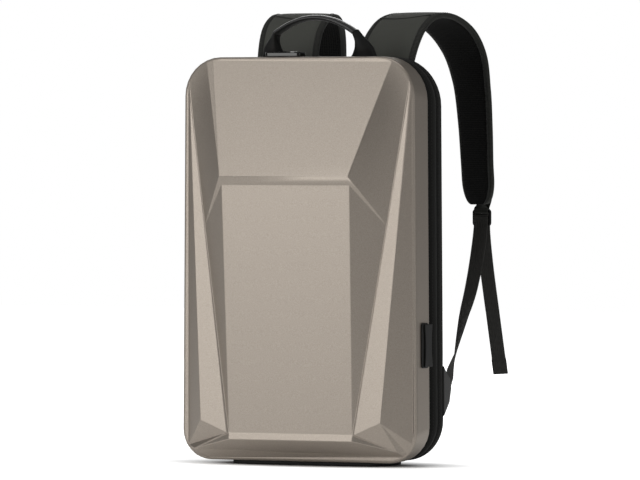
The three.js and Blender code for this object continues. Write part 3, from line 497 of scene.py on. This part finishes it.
def spaced(path, pitch):
    """Places along a polyline, pitch apart, whose X axis follows it."""
    lengths = running_lengths(path)
    count = int(lengths[-1] / pitch)
    segment = 0
    for i in range(count):
        travelled = (i + 0.5) * lengths[-1] / count
        while lengths[segment + 1] < travelled:
            segment += 1
        share = (travelled - lengths[segment]) / (lengths[segment + 1] - lengths[segment])
        tangent = path[segment + 1] - path[segment]
        turn = Vector((1, 0, 0)).rotation_difference(tangent).to_matrix().to_4x4()
        yield Matrix.Translation(path[segment].lerp(path[segment + 1], share)) @ turn


def stitches(path):
    """A row of thread stitches along a polyline."""
    shape = bmesh.new()
    stretch = Matrix.Diagonal((STITCH_LENGTH / 2, THREAD_RADIUS, THREAD_RADIUS, 1))
    for place in spaced(path, STITCH_PITCH):
        bmesh.ops.create_icosphere(shape, subdivisions=1, radius=1, matrix=place @ stretch)
    return shape


def route_point(rows, t):
    """A point at share t of a centripetal Catmull-Rom route through rows of (place, twist)."""
    last = len(rows) - 1
    row = min(int(t * last), last - 1)
    share = t * last - row
    a, b = rows[row][0], rows[row + 1][0]
    before = rows[row - 1][0] if row > 0 else 2 * a - b
    after = rows[row + 2][0] if row + 2 <= last else 2 * b - a
    d0, d1, d2 = [math.sqrt((q - p).length) for p, q in ((before, a), (a, b), (b, after))]
    start = ((a - before) / d0 - (b - before) / (d0 + d1) + (b - a) / d1) * d1
    end = ((b - a) / d1 - (after - a) / (d1 + d2) + (after - b) / d2) * d1
    return (
        a
        + start * share
        + (3 * (b - a) - 2 * start - end) * share**2
        + (2 * (a - b) + start + end) * share**3
    )


def station(rows, t):
    """Where a route is at share t, with its unit vectors across and through the band that follows it."""
    last = len(rows) - 1
    row = min(int(t * last), last - 1)
    twist = math.radians(rows[row][1] + (rows[row + 1][1] - rows[row][1]) * (t * last - row))
    tangent = (route_point(rows, min(t + 0.0001, 1)) - route_point(rows, max(t - 0.0001, 0))).normalized()
    across = Vector((math.cos(twist), -math.sin(twist), 0))
    across = (across - tangent * across.dot(tangent)).normalized()
    return route_point(rows, t), across, tangent.cross(across).normalized()


def sweep(rows, places, section):
    """Rings of a section along a route. The section gives points of (across, through) for the distance
    travelled and the route's length."""
    at = [route_point(rows, t) for t in places]
    lengths = running_lengths(at)
    rings = []
    for t, travelled in zip(places, lengths):
        middle, across, through = station(rows, t)
        points = section(travelled, lengths[-1])
        rings.append([middle + across * a + through * b for a, b in points])
    return rings


def even(count):
    """Shares from 0 to 1 in equal steps."""
    return [i / count for i in range(count + 1)]


# Shell


def twist_facet(shape, side):
    """Gives the facet at one upper corner a ruled surface, from the sloping face's edge to the light
    facet's."""
    x_round = BODY_WIDTH_TOP / 2 - TOP_CORNER_RADIUS
    z_round = BODY_TOP_Z - TOP_CORNER_RADIUS
    radius = TOP_CORNER_RADIUS - RIM_INSET
    turns = [math.pi / 2 * step / RIM_CORNER_STEPS for step in range(APEX_STEP, TRAPEZOID_STEP + 1)]
    places = [Vector((x_round + radius * math.cos(a), RIM_Y, z_round + radius * math.sin(a))) for a in turns]
    places.append(FLANK_FOOT.lerp(places[0], VALLEY_SHARE))
    places.append(Vector((RIDGE_END_X, RIM_Y - RELIEF_HEIGHT, RIDGE_Z)))
    corners = []
    for place in places:
        mirrored = Vector((side * place.x, place.y, place.z))
        corners.append(min(shape.verts, key=lambda vert: (vert.co - mirrored).length))
    apex, trapezoid, valley, ridge = corners[0], corners[-3], corners[-2], corners[-1]
    region = [face for face in shape.faces if set(corners).issuperset(face.verts)]
    bmesh.ops.delete(shape, geom=region, context="FACES")

    # The two rails are split alike, and the ridge's edge as often as the rim has steps
    rails = []
    for start, end, parts in (
        (ridge, trapezoid, RAIL_PARTS),
        (valley, apex, RAIL_PARTS),
        (ridge, valley, RIDGE_PARTS),
    ):
        edge = shape.edges.get((start, end))
        rail = [edge]
        for left in range(parts, 1, -1):
            part, start = bmesh.utils.edge_split(edge, start, 1 / left)
            rail.append(part)
        rails.append(rail)
    return bmesh.ops.grid_fill(shape, edges=rails[0] + rails[1], use_interp_simple=True)["faces"]


def add_shell():
    """The shell is one moulding, so its three solids are joined across the gaps between them."""
    shape = bmesh.new()
    for node in SHELL_NODES:
        shape.from_mesh(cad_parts[node].data)
    bmesh.ops.remove_doubles(shape, verts=shape.verts, dist=2e-6)
    cuts = [face for face in shape.faces if all(at_cut(vert.co) for vert in face.verts)]
    cuts = [face for face in cuts if max(abs(face.normal.y), abs(face.normal.z)) > 0.999]
    bmesh.ops.delete(shape, geom=cuts, context="FACES")
    open_verts = [vert for vert in shape.verts if vert.is_boundary]
    bmesh.ops.remove_doubles(shape, verts=open_verts, dist=1.3 * CLEARANCE)
    join_flat_faces(shape, 0.3)

    # The ruled facets stay smooth, and the relief's other creases get a small round
    twisted = {face for side in (1, -1) for face in twist_facet(shape, side)}
    creases = [
        edge
        for edge in shape.edges
        if all(vert.co.y < RIM_Y + 0.00005 for vert in edge.verts)
        and len(edge.link_faces) == 2
        and edge.calc_face_angle() > math.radians(5)
        and not twisted.issuperset(edge.link_faces)
    ]
    round_edges(shape, creases, CREASE_ROUND, 3, clamp=False)
    outward(shape)
    add_piece("moulded_shell", shape, [COAT], slot="shell", nodes=SHELL_NODES, sharp=50, weighted=True)


# Zip


def add_zip():
    """The tape is a closed ring, and its teeth run from one lower corner over the top to the other."""
    rows = [
        (ZIP_FRONT_Y, ZIP_TAPE_INSET),
        (ZIP_REAR_Y, ZIP_TAPE_INSET),
        (ZIP_REAR_Y, ZIP_TAPE_INSET + ZIP_TAPE_THICKNESS),
        (ZIP_FRONT_Y, ZIP_TAPE_INSET + ZIP_TAPE_THICKNESS),
        (ZIP_FRONT_Y, ZIP_TAPE_INSET),
    ]
    tape = loft([body_outline(inset, y) for y, inset in rows], capped=False)
    bmesh.ops.remove_doubles(tape, verts=tape.verts, dist=1e-6)
    add_piece("zip_ribbon", outward(tape), [ZIP_TAPE], slot="zip_tape", nodes=["zip_tape"])

    middle = (ZIP_FRONT_Y + ZIP_REAR_Y) / 2
    outline = body_outline(TEETH_INSET + TOOTH_SIZE[2] / 2, middle)
    lower = CORNER_STEPS // 2
    upper = len(outline) - END_STEPS + 1 - lower
    path = outline[lower:upper]
    teeth = bmesh.new()
    size = Matrix.Diagonal((*TOOTH_SIZE, 1))
    for i, place in enumerate(spaced(path, TEETH_PITCH)):
        side = Matrix.Translation((0, TOOTH_OFFSET if i % 2 else -TOOTH_OFFSET, 0))
        bmesh.ops.create_cube(teeth, size=1, matrix=place @ side @ size)
    soften(teeth, 0.0003, segments=1)
    add_piece("zip_tooth_row", teeth, [ACETAL], slot="black_plastic", nodes=["zip_teeth"])


# Fabric bands and the piping between them


def add_bands():
    """Two fabric bands that swell a little along the depth, with piping and stitching at their seams."""
    gusset_depth = GUSSET_REAR_Y - GUSSET_FRONT_Y
    band_depth = 0.0115
    wall = 0.0024
    gusset = [
        (0, 0.0048),
        (0.05, 0.0040),
        (0.12, 0.0029),
        (0.2, 0.0021),
        (0.35, 0.0010),
        (0.55, 0.0003),
        (0.75, 0.0004),
        (0.9, 0.0011),
        (1, 0.0022),
        (1, 0.0022 + wall),
        (0.55, 0.0003 + wall),
        (0, 0.0048 + wall),
        (0, 0.0048),
    ]
    band = [
        (0, 0.0022),
        (0.1, 0.0013),
        (0.25, 0.0006),
        (0.45, 0.0001),
        (0.65, 0),
        (0.85, 0.0003),
        (1, 0.0009),
        (1, 0.0009 + wall),
        (0.5, wall),
        (0, 0.0022 + wall),
        (0, 0.0022),
    ]
    for name, rows, start, depth in (
        ("gusset", gusset, GUSSET_FRONT_Y, gusset_depth),
        ("rear_band", band, BAND_FRONT_Y, band_depth),
    ):
        rings = [body_outline(inset, start + share * depth) for share, inset in rows]
        shape = loft(rings, capped=False)
        bmesh.ops.remove_doubles(shape, verts=shape.verts, dist=1e-6)
        add_piece(f"woven_{name}", outward(shape), [OXFORD], slot="fabric", nodes=[name])

    piping = (GUSSET_REAR_Y + BAND_FRONT_Y) / 2
    cord = tube_round(piping, 0.0016, PIPING_RADIUS)
    add_piece("seam_piping", cord, [OXFORD], slot="fabric")
    back_cord = tube_round(BACK_FRONT_Y - 0.0001, 0.0012, PIPING_RADIUS)
    add_piece("back_piping", back_cord, [OXFORD], slot="fabric")
    for name, y, inset in (
        ("gusset_front", GUSSET_FRONT_Y + 0.0032, 0.0019),
        ("gusset_rear", GUSSET_REAR_Y - 0.0022, 0.0009),
        ("band_front", BAND_FRONT_Y + 0.0024, 0.0006),
    ):
        path = body_outline(inset, y)
        shape = stitches(path + [path[0]])
        add_piece(f"stitches_{name}", shape, [THREAD], slot="fabric")


def tube_round(y, inset, radius):
    """A round cord that follows the body's outline."""
    turns = [2 * math.pi * i / 8 for i in range(9)]
    rings = [body_outline(inset - radius * math.sin(a), y + radius * math.cos(a)) for a in turns]
    shape = loft(rings, capped=False)
    bmesh.ops.remove_doubles(shape, verts=shape.verts, dist=1e-6)
    return outward(shape)


# Back


def pad_face(width, corner, rise, base_y, middle_x, channels):
    """A quilted pad on the back: a grid with round corners, a crowned face and sewn channels."""
    shape = bmesh.new()
    cloth = shape.loops.layers.uv.new("Cloth")
    columns = int(width / PAD_CELL_WIDTH)
    rows = int(PAD_HEIGHT / PAD_CELL_HEIGHT)
    bmesh.ops.create_grid(shape, x_segments=columns, y_segments=rows, size=0.5)
    for vert in shape.verts:
        x, z = vert.co.x * width, vert.co.y * PAD_HEIGHT
        distance = min(width / 2 - abs(x), PAD_HEIGHT / 2 - abs(z))
        in_x, in_z = abs(x) - (width / 2 - corner), abs(z) - (PAD_HEIGHT / 2 - corner)
        if in_x > 0 and in_z > 0:
            pull = max(in_x, in_z) / math.hypot(in_x, in_z)
            x = math.copysign(width / 2 - corner + in_x * pull, x)
            z = math.copysign(PAD_HEIGHT / 2 - corner + in_z * pull, z)
        crown = math.sqrt(1 - (1 - min(distance / PAD_EDGE_ROUND, 1)) ** 2)
        groove = sum(math.exp(-(((z - channel) / CHANNEL_REACH) ** 2)) for channel in channels)
        lift = rise * crown * (1 - CHANNEL_DEPTH_SHARE * min(groove, 1))
        vert.co = Vector((middle_x + x, base_y + lift, PAD_MIDDLE_Z + z))
    for face in shape.faces:
        for corner_loop in face.loops:
            corner_loop[cloth].uv = (corner_loop.vert.co.x, corner_loop.vert.co.z)
    rim = [edge for edge in shape.edges if len(edge.link_faces) == 1]
    made = bmesh.ops.extrude_edge_only(shape, edges=rim)["geom"]
    low = [item for item in made if isinstance(item, bmesh.types.BMVert)]
    bmesh.ops.translate(shape, verts=low, vec=(0, -PAD_TUCK, 0))
    bmesh.ops.holes_fill(shape, edges=[edge for edge in shape.edges if len(edge.link_faces) == 1])
    return outward(shape)


def add_back():
    """A padded board behind the bands, with two long quilted pads and a narrow one between them."""
    rows = [
        (BACK_FRONT_Y, 0.0016),
        (BACK_FRONT_Y + 0.0015, 0.0016),
        (BACK_FRONT_Y + 0.003, 0.0023),
        (BACK_FRONT_Y + 0.006, 0.0036),
        (BACK_FRONT_Y + 0.0085, 0.0058),
        (BACK_FRONT_Y + 0.0103, 0.0085),
        (BACK_FRONT_Y + PAD_BASE_DEPTH, 0.0125),
        (BACK_FRONT_Y + 0.0114, 0.0175),
    ]
    panel = outward(loft([body_outline(inset, y) for y, inset in rows]))
    add_piece("back_board", panel, [OXFORD], slot="back_mesh", nodes=["back_panel"])
    base = BACK_FRONT_Y + PAD_BASE_DEPTH
    rise = BACK_FACE_Y - base
    for side, middle_x in (("right", PAD_MIDDLE_X), ("left", -PAD_MIDDLE_X)):
        shape = pad_face(PAD_WIDTH, PAD_CORNER, rise, base, middle_x, PAD_CHANNELS)
        add_piece(f"back_pad_{side}", shape, [MESH], slot="back_mesh")
    pillar = pad_face(CENTRE_PAD_WIDTH, CENTRE_PAD_CORNER, CENTRE_RISE_SHARE * rise, base, 0, [])
    add_piece("back_channel", pillar, [MESH], slot="back_mesh")


# Shoulder straps


def strap_rows():
    """The middle line of the right strap, as places and twists in degrees."""
    return [
        (
            STRAP_END
            + Vector(((across - 1) * STRAP_SPREAD, (out - 1) * STRAP_REACH, up * STRAP_HEIGHT)),
            twist,
        )
        for out, up, across, twist in STRAP_ROUTE
    ]


def strap_half_width(travelled, length):
    """The strap narrows in an ellipse's quarter towards its lower end."""
    left = min(max(length - travelled, 0) / STRAP_END_ROUND, 1)
    full = math.sqrt(1 - (1 - left) ** 2)
    return (STRAP_END_WIDTH + (STRAP_WIDTH - STRAP_END_WIDTH) * full) / 2


# The strap's half thickness across its width, as shares: the crowned pad, the sewn line beside the binding,
# and the binding that wraps the edge
STRAP_PROFILE = [
    (0, 1),
    (0.25, 0.99),
    (0.5, 0.96),
    (0.68, 0.9),
    (0.76, 0.8),
    (0.795, 0.66),
    (0.81, 0.62),
    (0.83, 0.74),
    (0.86, 0.8),
    (0.92, 0.78),
    (0.97, 0.64),
    (0.995, 0.34),
]


def strap_section(travelled, length):
    """The strap's profile, kept at the edge's size where the strap narrows."""
    half = strap_half_width(travelled, length)
    thick = STRAP_THICKNESS / 2
    edge = STRAP_WIDTH / 2 - half
    outer = []
    for share, height in STRAP_PROFILE:
        a = max(share * STRAP_WIDTH / 2 - edge, share * half * 0.5)
        outer.append((min(a, half * share), height * thick))
    top = [(-a, b) for a, b in reversed(outer[1:])] + outer
    return top + [(a, -b) for a, b in reversed(top)]


def add_straps():
    """Padded straps with bound edges, their stitching and a seam across the outer face."""
    rows = strap_rows()
    last = len(rows) - 1
    places = [i / (last * 7) for i in range((last - 1) * 7)]
    places += [1 - (1 - (i / 20)) ** 2 / last for i in range(20)] + [1]
    top = len(STRAP_PROFILE) * 2 - 1
    wrap = len(STRAP_PROFILE) - 1 - 6
    face = [1 if j < wrap or j >= top - 1 - wrap else 2 for j in range(top - 1)]
    back = [1 if j < wrap or j >= top - 1 - wrap else 0 for j in range(top - 1)]
    finishes = face + [1] + back + [1]
    shape = loft(sweep(rows, places, strap_section), finishes=finishes)
    for strap in add_pair(
        "padded_strap",
        outward(shape),
        [STRAP_NYLON, BINDING, MESH],
        nodes=["strap"],
        slot="strap_fabric",
        sharp=70,
        levels=1,
    ):
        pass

    # Two rows of stitching hold each binding, one on each face
    for side in (-1, 1):
        for face_side in (-1, 1):
            path = []
            for t in [0.02 + 0.9 * i / 240 for i in range(241)]:
                middle, across, through = station(rows, t)
                a = side * 0.85 * STRAP_WIDTH / 2
                path.append(middle + across * a + through * face_side * 0.84 * STRAP_THICKNESS / 2)
            edge = "outer" if side > 0 else "inner"
            face_name = "front" if face_side > 0 else "back"
            add_pair(f"stitches_strap_{edge}_{face_name}", stitches(path), [THREAD], slot="strap_fabric")

    # A sewn cross seam on the outer face in front of the crest
    seam = []
    for i in range(31):
        share = -0.8 + 1.6 * i / 30
        middle, across, through = station(rows, 0.355 - 0.03 * (1 - share**2) + 0.012 * share)
        crown = 0.93 if abs(share) < 0.7 else 0.86
        point = middle + across * share * STRAP_WIDTH / 2 - through * crown * STRAP_THICKNESS / 2
        seam.append((point, across, through))
    rings = []
    for i, (point, across, through) in enumerate(seam):
        before, after = seam[max(i - 1, 0)][0], seam[min(i + 1, 30)][0]
        side = (after - before).normalized().cross(through)
        turns = [2 * math.pi * k / 8 for k in range(8)]
        rings.append([point + side * 0.0022 * math.cos(a) - through * 0.0007 * math.sin(a) for a in turns])
    add_pair("strap_cross_seam", outward(loft(rings)), [BINDING], slot="strap_fabric")


# Buckles, loops and webbing

STRAP_TURN = STRAP_ROUTE[-1][3]
STRAP_ACROSS = Vector((math.cos(math.radians(STRAP_TURN)), -math.sin(math.radians(STRAP_TURN)), 0))
STRAP_REARWARD = Vector((0, 0, 1)).cross(STRAP_ACROSS)
LOOP_SEAT = (
    STRAP_END
    - STRAP_ACROSS * LOOP_OFFSET
    + STRAP_REARWARD * (STRAP_THICKNESS / 2 + CLEARANCE + LOOP_THICKNESS / 2)
)
LOOP_STANDOFF = BUCKLE_THICKNESS / 2 + CLEARANCE + LOOP_THICKNESS / 2
BUCKLE = LOOP_SEAT + Vector((0, LOOP_STANDOFF, -BUCKLE_DROP))


def loop_section(travelled, length):
    """A flat band's section with soft edges, the same all along."""
    across = [-1, -0.97, -0.9, -0.5, 0, 0.5, 0.9, 0.97, 1]
    fall = [0.35, 0.8, 1, 1, 1, 1, 1, 0.8, 0.35]
    top = [(a * LOOP_WIDTH / 2, f * LOOP_THICKNESS / 2) for a, f in zip(across, fall)]
    return top + [(a, -b) for a, b in reversed(top)]


def webbing_section(travelled, length):
    """Webbing with lengthwise ribs on both faces, folded double and sewn at its free end."""
    folded = length - travelled < TAIL_END_LENGTH
    thick = TAIL_END_THICKNESS if folded else WEBBING_THICKNESS
    half = WEBBING_WIDTH / 2 + (FOLD_MARGIN if folded else 0)
    steps = WEBBING_RIBS * 4
    top = []
    for i in range(steps + 1):
        share = -1 + 2 * i / steps
        rib = RIB_DEPTH * math.cos(2 * math.pi * i / 4)
        edge = 0.35 if i in (0, steps) else 1
        top.append((share * half, edge * (thick / 2 - RIB_DEPTH + rib)))
    return top + [(a, -b) for a, b in reversed(top)]


def add_buckles():
    """Ladder-lock buckles, each held by a loop that turns round its top bar."""
    for side in ("right", "left"):
        shape = copy_of(f"buckle_{side}")
        soften(shape, 0.0006, segments=2, angle=30)
        nodes = [f"buckle_{side}"]
        add_piece(f"ladder_lock_{side}", shape, [ACETAL], slot="black_plastic", nodes=nodes, weighted=True)

    bar = BUCKLE + Vector((0, 0, BUCKLE_HEIGHT / 2 - BUCKLE_BAR / 2))
    reach_z = BUCKLE_BAR / 2 + CLEARANCE + LOOP_THICKNESS / 2

    def turned(degrees, swell=1):
        a = math.radians(degrees)
        return bar + Vector((0, -LOOP_STANDOFF * swell * math.cos(a), -reach_z * swell * math.sin(a)))

    def beside(side):
        return bar + Vector((0, side * LOOP_STANDOFF, BUCKLE_BAR / 2 + 0.001))

    def on_strap(up, off):
        return LOOP_SEAT + Vector((0, 0, up)) + STRAP_REARWARD * off

    rows = [
        (on_strap(LOOP_LENGTH, 0), STRAP_TURN),
        (on_strap(0.5 * LOOP_LENGTH, 0), STRAP_TURN),
        (on_strap(0, 0), STRAP_TURN),
        (beside(-1), BUCKLE_TURN),
        (turned(0), BUCKLE_TURN),
        (turned(45, 1.25), BUCKLE_TURN),
        (turned(90), BUCKLE_TURN),
        (turned(135, 1.25), BUCKLE_TURN),
        (turned(180), BUCKLE_TURN),
        (beside(1), BUCKLE_TURN),
        (on_strap(0.3 * LOOP_LENGTH, LOOP_BULGE), STRAP_TURN),
        (on_strap(0.6 * LOOP_LENGTH, 0.75 * LOOP_BULGE), STRAP_TURN),
        (on_strap(LOOP_LENGTH, LOOP_THICKNESS + 0.0004), STRAP_TURN),
    ]
    rings = sweep(rows, even(96), loop_section)
    add_pair(
        "sewn_loop", outward(loft(rings)), [BINDING], nodes=["buckle_loop"], slot="strap_fabric", sharp=60
    )


def add_webbing():
    """Webbing from the anchor tab up to the buckle, over its middle bar and down as a free tail."""
    bar_z = BUCKLE.z - BUCKLE_HEIGHT / 2 + BUCKLE_BAR / 2
    stand = BUCKLE_THICKNESS / 2 + CLEARANCE + WEBBING_THICKNESS / 2
    front = BUCKLE.y - stand
    foot = Vector(
        (
            TAB_X - CLEARANCE - WEBBING_THICKNESS / 2,
            BACK_FRONT_Y + 0.62 * TAB_REACH,
            TAB_FROM_BASE + 0.5 * TAB_HEIGHT,
        )
    )
    head = Vector((BUCKLE.x, front, bar_z + BUCKLE_BAR))

    def rising(across, out, up):
        return Vector(
            (
                foot.x + across * (head.x - foot.x),
                foot.y + out * (head.y - foot.y),
                foot.z + up * (head.z - foot.z),
            )
        )

    def over(degrees):
        a = math.radians(degrees)
        reach = BUCKLE_BAR / 2 + CLEARANCE + WEBBING_THICKNESS / 2
        return BUCKLE + Vector((0, -stand * math.cos(a), reach * math.sin(a) + WEBBING_SLACK))

    def hanging(share, drop):
        return BUCKLE + Vector(
            (
                share * TAIL_SWING_OUT,
                stand + share * TAIL_SWING_BACK,
                -BUCKLE_BAR / 2 - drop * TAIL_LENGTH,
            )
        )

    rows = [
        (rising(0, 0, 0), 90),
        (rising(0, 0.06, 0.1), 90),
        (rising(0.06, 0.16, 0.2), 68),
        (rising(0.39, 0.44, 0.41), 45),
        (rising(0.73, 0.73, 0.61), 22),
        (rising(0.96, 0.94, 0.84), BUCKLE_TURN),
        (rising(1, 1, 1), BUCKLE_TURN),
        (over(0), BUCKLE_TURN),
        (over(45), BUCKLE_TURN),
        (over(90), BUCKLE_TURN),
        (over(135), BUCKLE_TURN),
        (over(180), BUCKLE_TURN),
        (hanging(0.02, 0.08), BUCKLE_TURN),
        (hanging(0.2, 0.3), BUCKLE_TURN),
        (hanging(0.6, 0.65), BUCKLE_TURN),
        (hanging(1, 1), BUCKLE_TURN),
    ]
    rings = sweep(rows, even(240), webbing_section)
    add_pair(
        "ribbed_webbing",
        outward(loft(rings)),
        [WEBBING],
        nodes=["webbing", "webbing_tail"],
        slot="webbing",
        sharp=75,
    )
    for side in ("right", "left"):
        shape = copy_of(f"anchor_tab_{side}")
        bmesh.ops.triangulate(shape, faces=shape.faces)
        soften(shape, 0.0007, segments=3, angle=30)
        nodes = [f"anchor_tab_{side}"]
        add_piece(f"anchor_patch_{side}", shape, [TAB_CLOTH], slot="fabric", nodes=nodes, weighted=True)


# Handle


def add_handle():
    """A crowned grip between two moulded feet."""
    turns = [2 * math.pi * i / 20 for i in range(20)]
    rings = []
    for i in range(49):
        x = HANDLE_SEAM_X * (i / 24 - 1)
        slope = -2 * HANDLE_SEAM_DROP * x / HANDLE_SEAM_X**2
        up = Vector((-slope, 0, 1)).normalized()
        at = Vector((x, GRIP_Y, GRIP_Z - HANDLE_SEAM_DROP * (x / HANDLE_SEAM_X) ** 2))
        across = Vector((0, GRIP_WIDTH / 2, 0))
        rings.append([at + across * math.cos(a) + up * (GRIP_THICKNESS / 2 * math.sin(a)) for a in turns])
    grip = add_piece(
        "padded_grip", outward(loft(rings)), [GRIP_SKIN], slot="fabric", nodes=["handle_grip"], sharp=70
    )

    seam_z = GRIP_Z - HANDLE_SEAM_DROP
    foot_z = BODY_TOP_Z + CLEARANCE
    end_tilt = math.atan2(HANDLE_SEAM_X, 2 * HANDLE_SEAM_DROP)
    rings = []
    for i in range(25):
        t = i / 24
        row = min(int(t * 4), 3)
        share = t * 4 - row
        stations = zip(FOOT_STATIONS[row], FOOT_STATIONS[row + 1])
        down, out, length, width = [before + (after - before) * share for before, after in stations]
        tilt = end_tilt * (1 - down)
        at = Vector(
            (
                HANDLE_SEAM_X + CLEARANCE + out * FOOT_OFFSET,
                FEET_Y - (FEET_Y - GRIP_Y) * (1 - down),
                seam_z - down * (seam_z - foot_z),
            )
        )
        level = Vector((math.cos(tilt), 0, math.sin(tilt))) * (length * FOOT_LENGTH / 2)
        across = Vector((0, width * FOOT_WIDTH / 2, 0))
        rings.append([at + across * math.cos(a) + level * math.sin(a) for a in turns])
    foot = loft(rings)
    for _ in range(3):
        inside = [
            vert
            for vert in foot.verts
            if len(vert.link_edges) == 4 and foot_z + 0.002 < vert.co.z < seam_z - 0.004
        ]
        bmesh.ops.smooth_vert(
            foot, verts=inside, factor=0.5, use_axis_x=True, use_axis_y=True, use_axis_z=True
        )
    add_pair("moulded_foot", outward(foot), [RUBBER], nodes=["handle_foot"], slot="rubber", sharp=60)


# Lock, pulls, port and base


def add_small_parts():
    """The hard parts keep their solids' shapes, with softened edges."""
    for node, name, material, slot, width, body in (
        ("lock_housing", "lock_case", BLACK_CHROME, "chrome", 0.0005, "bag"),
        ("lock_button", "lock_slide", CHROME, "chrome", 0.0004, "button"),
        ("lock_dial_1", "dial_wheel_1", ACETAL, "black_plastic", 0.0002, "dial_1"),
        ("lock_dial_2", "dial_wheel_2", ACETAL, "black_plastic", 0.0002, "dial_2"),
        ("lock_dial_3", "dial_wheel_3", ACETAL, "black_plastic", 0.0002, "dial_3"),
        ("zip_puller_left", "slider_left", CHROME, "chrome", 0.0005, "bag"),
        ("zip_puller_right", "slider_right", CHROME, "chrome", 0.0005, "bag"),
        ("port_frame", "port_rim", RUBBER, "rubber", 0.0005, "bag"),
        ("port_cover", "port_flap", RUBBER, "rubber", 0.0006, "bag"),
        ("base_pad", "foot_pad", RUBBER, "rubber", 0.001, "bag"),
    ):
        shape = copy_of(node)
        soften(shape, width, segments=2, angle=30)
        add_piece(name, shape, [material], slot=slot, nodes=[node], body=body, weighted=True)


add_shell()
add_zip()
add_bands()
add_back()
add_straps()
add_buckles()
add_webbing()
add_handle()
add_small_parts()


# Studio


# The paper glows from an oval that the bag stands in. It and the backdrop are white to the camera, and light
# the bag at these shares only
SHADOW_SQUEEZE = (0.45, 1, 1)
GLOW_START = 0.05
GLOW_FULL = 0.1
FLOOR_LIGHT = 0.35
BACKDROP_LIGHT = 0.12


def seen_or_lit(tree, light_share):
    """A strength of 1 to the camera, and of a smaller share to the rays that light the bag."""
    seen = add_node(tree, "LightPath").outputs["Is Camera Ray"]
    return add_node(tree, "MapRange", {"Value": seen, "To Min": light_share, "To Max": 1.0}).outputs["Result"]


def add_floor():
    """Pale paper that glows white away from the bag, so that only the contact shadow shows."""
    shape = bmesh.new()
    bmesh.ops.create_grid(shape, x_segments=1, y_segments=1, size=6)
    mesh = bpy.data.meshes.new("floor")
    shape.to_mesh(mesh)
    shape.free()
    floor = bpy.data.objects.new("floor", mesh)
    scene.collection.objects.link(floor)
    material, tree, shader = start_material("White paper", Base_Color=linear("#f2f2f2"), Roughness=0.9)
    place = add_node(tree, "TexCoord").outputs["Object"]
    fibre = add_node(tree, "TexNoise", {"Vector": place, "Scale": 200, "Detail": 3})
    bump = add_node(tree, "Bump", {"Height": fibre.outputs["Fac"], "Strength": 0.05, "Distance": 0.0005})
    squeezed = add_node(tree, "VectorMath", {0: place, 1: SHADOW_SQUEEZE}, operation="MULTIPLY")
    away = add_node(tree, "VectorMath", {0: squeezed.outputs["Vector"]}, operation="LENGTH").outputs["Value"]
    span = {"Value": away, "From Min": GLOW_START, "From Max": GLOW_FULL, "To Max": 1.0}
    glow = add_node(tree, "MapRange", span)
    share = seen_or_lit(tree, FLOOR_LIGHT)
    shown = add_node(tree, "Math", {0: glow.outputs["Result"], 1: share}, operation="MULTIPLY")
    tree.links.new(shown.outputs["Value"], shader.inputs["Emission Strength"])
    shader.inputs["Emission Color"].default_value = linear("#ffffff")
    tree.links.new(bump.outputs["Normal"], shader.inputs["Normal"])
    mesh.materials.append(material)


def add_light(name, place, width, height, watts):
    """A softbox that faces the middle of the bag."""
    lamp = bpy.data.lights.new(name, "AREA")
    lamp.shape = "RECTANGLE"
    lamp.size = width
    lamp.size_y = height
    lamp.energy = watts
    light = bpy.data.objects.new(name, lamp)
    light.location = place
    light.rotation_euler = (MIDDLE - Vector(place)).to_track_quat("-Z", "Y").to_euler()
    scene.collection.objects.link(light)


# The softbox at the front left makes the faces that meet it lighter than the right flanks. The strip draws
# the rim's right edge, the overhead lifts the sloping face, and the rear softbox shows straps and back
MIDDLE = Vector((0, 0, 0.24))
add_floor()
add_light("front softbox", (-1.05, -2.4, 0.98), 1.15, 2.2, 21)
add_light("rim strip", (2.5, -0.3, 0.5), 0.12, 1.5, 3)
add_light("overhead", (0.2, -0.5, 2.2), 1.4, 0.8, 9)
add_light("rear softbox", (-1.4, 3.0, 1.1), 1.8, 1.6, 20)

world = bpy.data.worlds.new("Studio")
world.use_nodes = True
tree = world.node_tree
tree.nodes.clear()
strength = seen_or_lit(tree, BACKDROP_LIGHT)
backdrop = add_node(tree, "Background", {"Color": linear("#ffffff"), "Strength": strength})
add_node(tree, "OutputWorld", {"Surface": backdrop.outputs["Background"]})
scene.world = world
scene.view_settings.view_transform = "Standard"

# The camera stands to the right of the front, a little above the middle of the bag
LENS_MM = 360
SENSOR_MM = 36
CAMERA_PLACE = (3.0598, -6.6117, 0.370)
CAMERA_AIM = Vector((0.0220, -0.0397, 0.2557))
camera_data = bpy.data.cameras.new("camera")
camera_data.lens = LENS_MM
camera_data.sensor_width = SENSOR_MM
camera_data.clip_end = 60
camera = bpy.data.objects.new("camera", camera_data)
camera.location = CAMERA_PLACE
camera.rotation_euler = (CAMERA_AIM - camera.location).to_track_quat("-Z", "Y").to_euler()
scene.collection.objects.link(camera)
scene.camera = camera

bpy.context.view_layer.update()
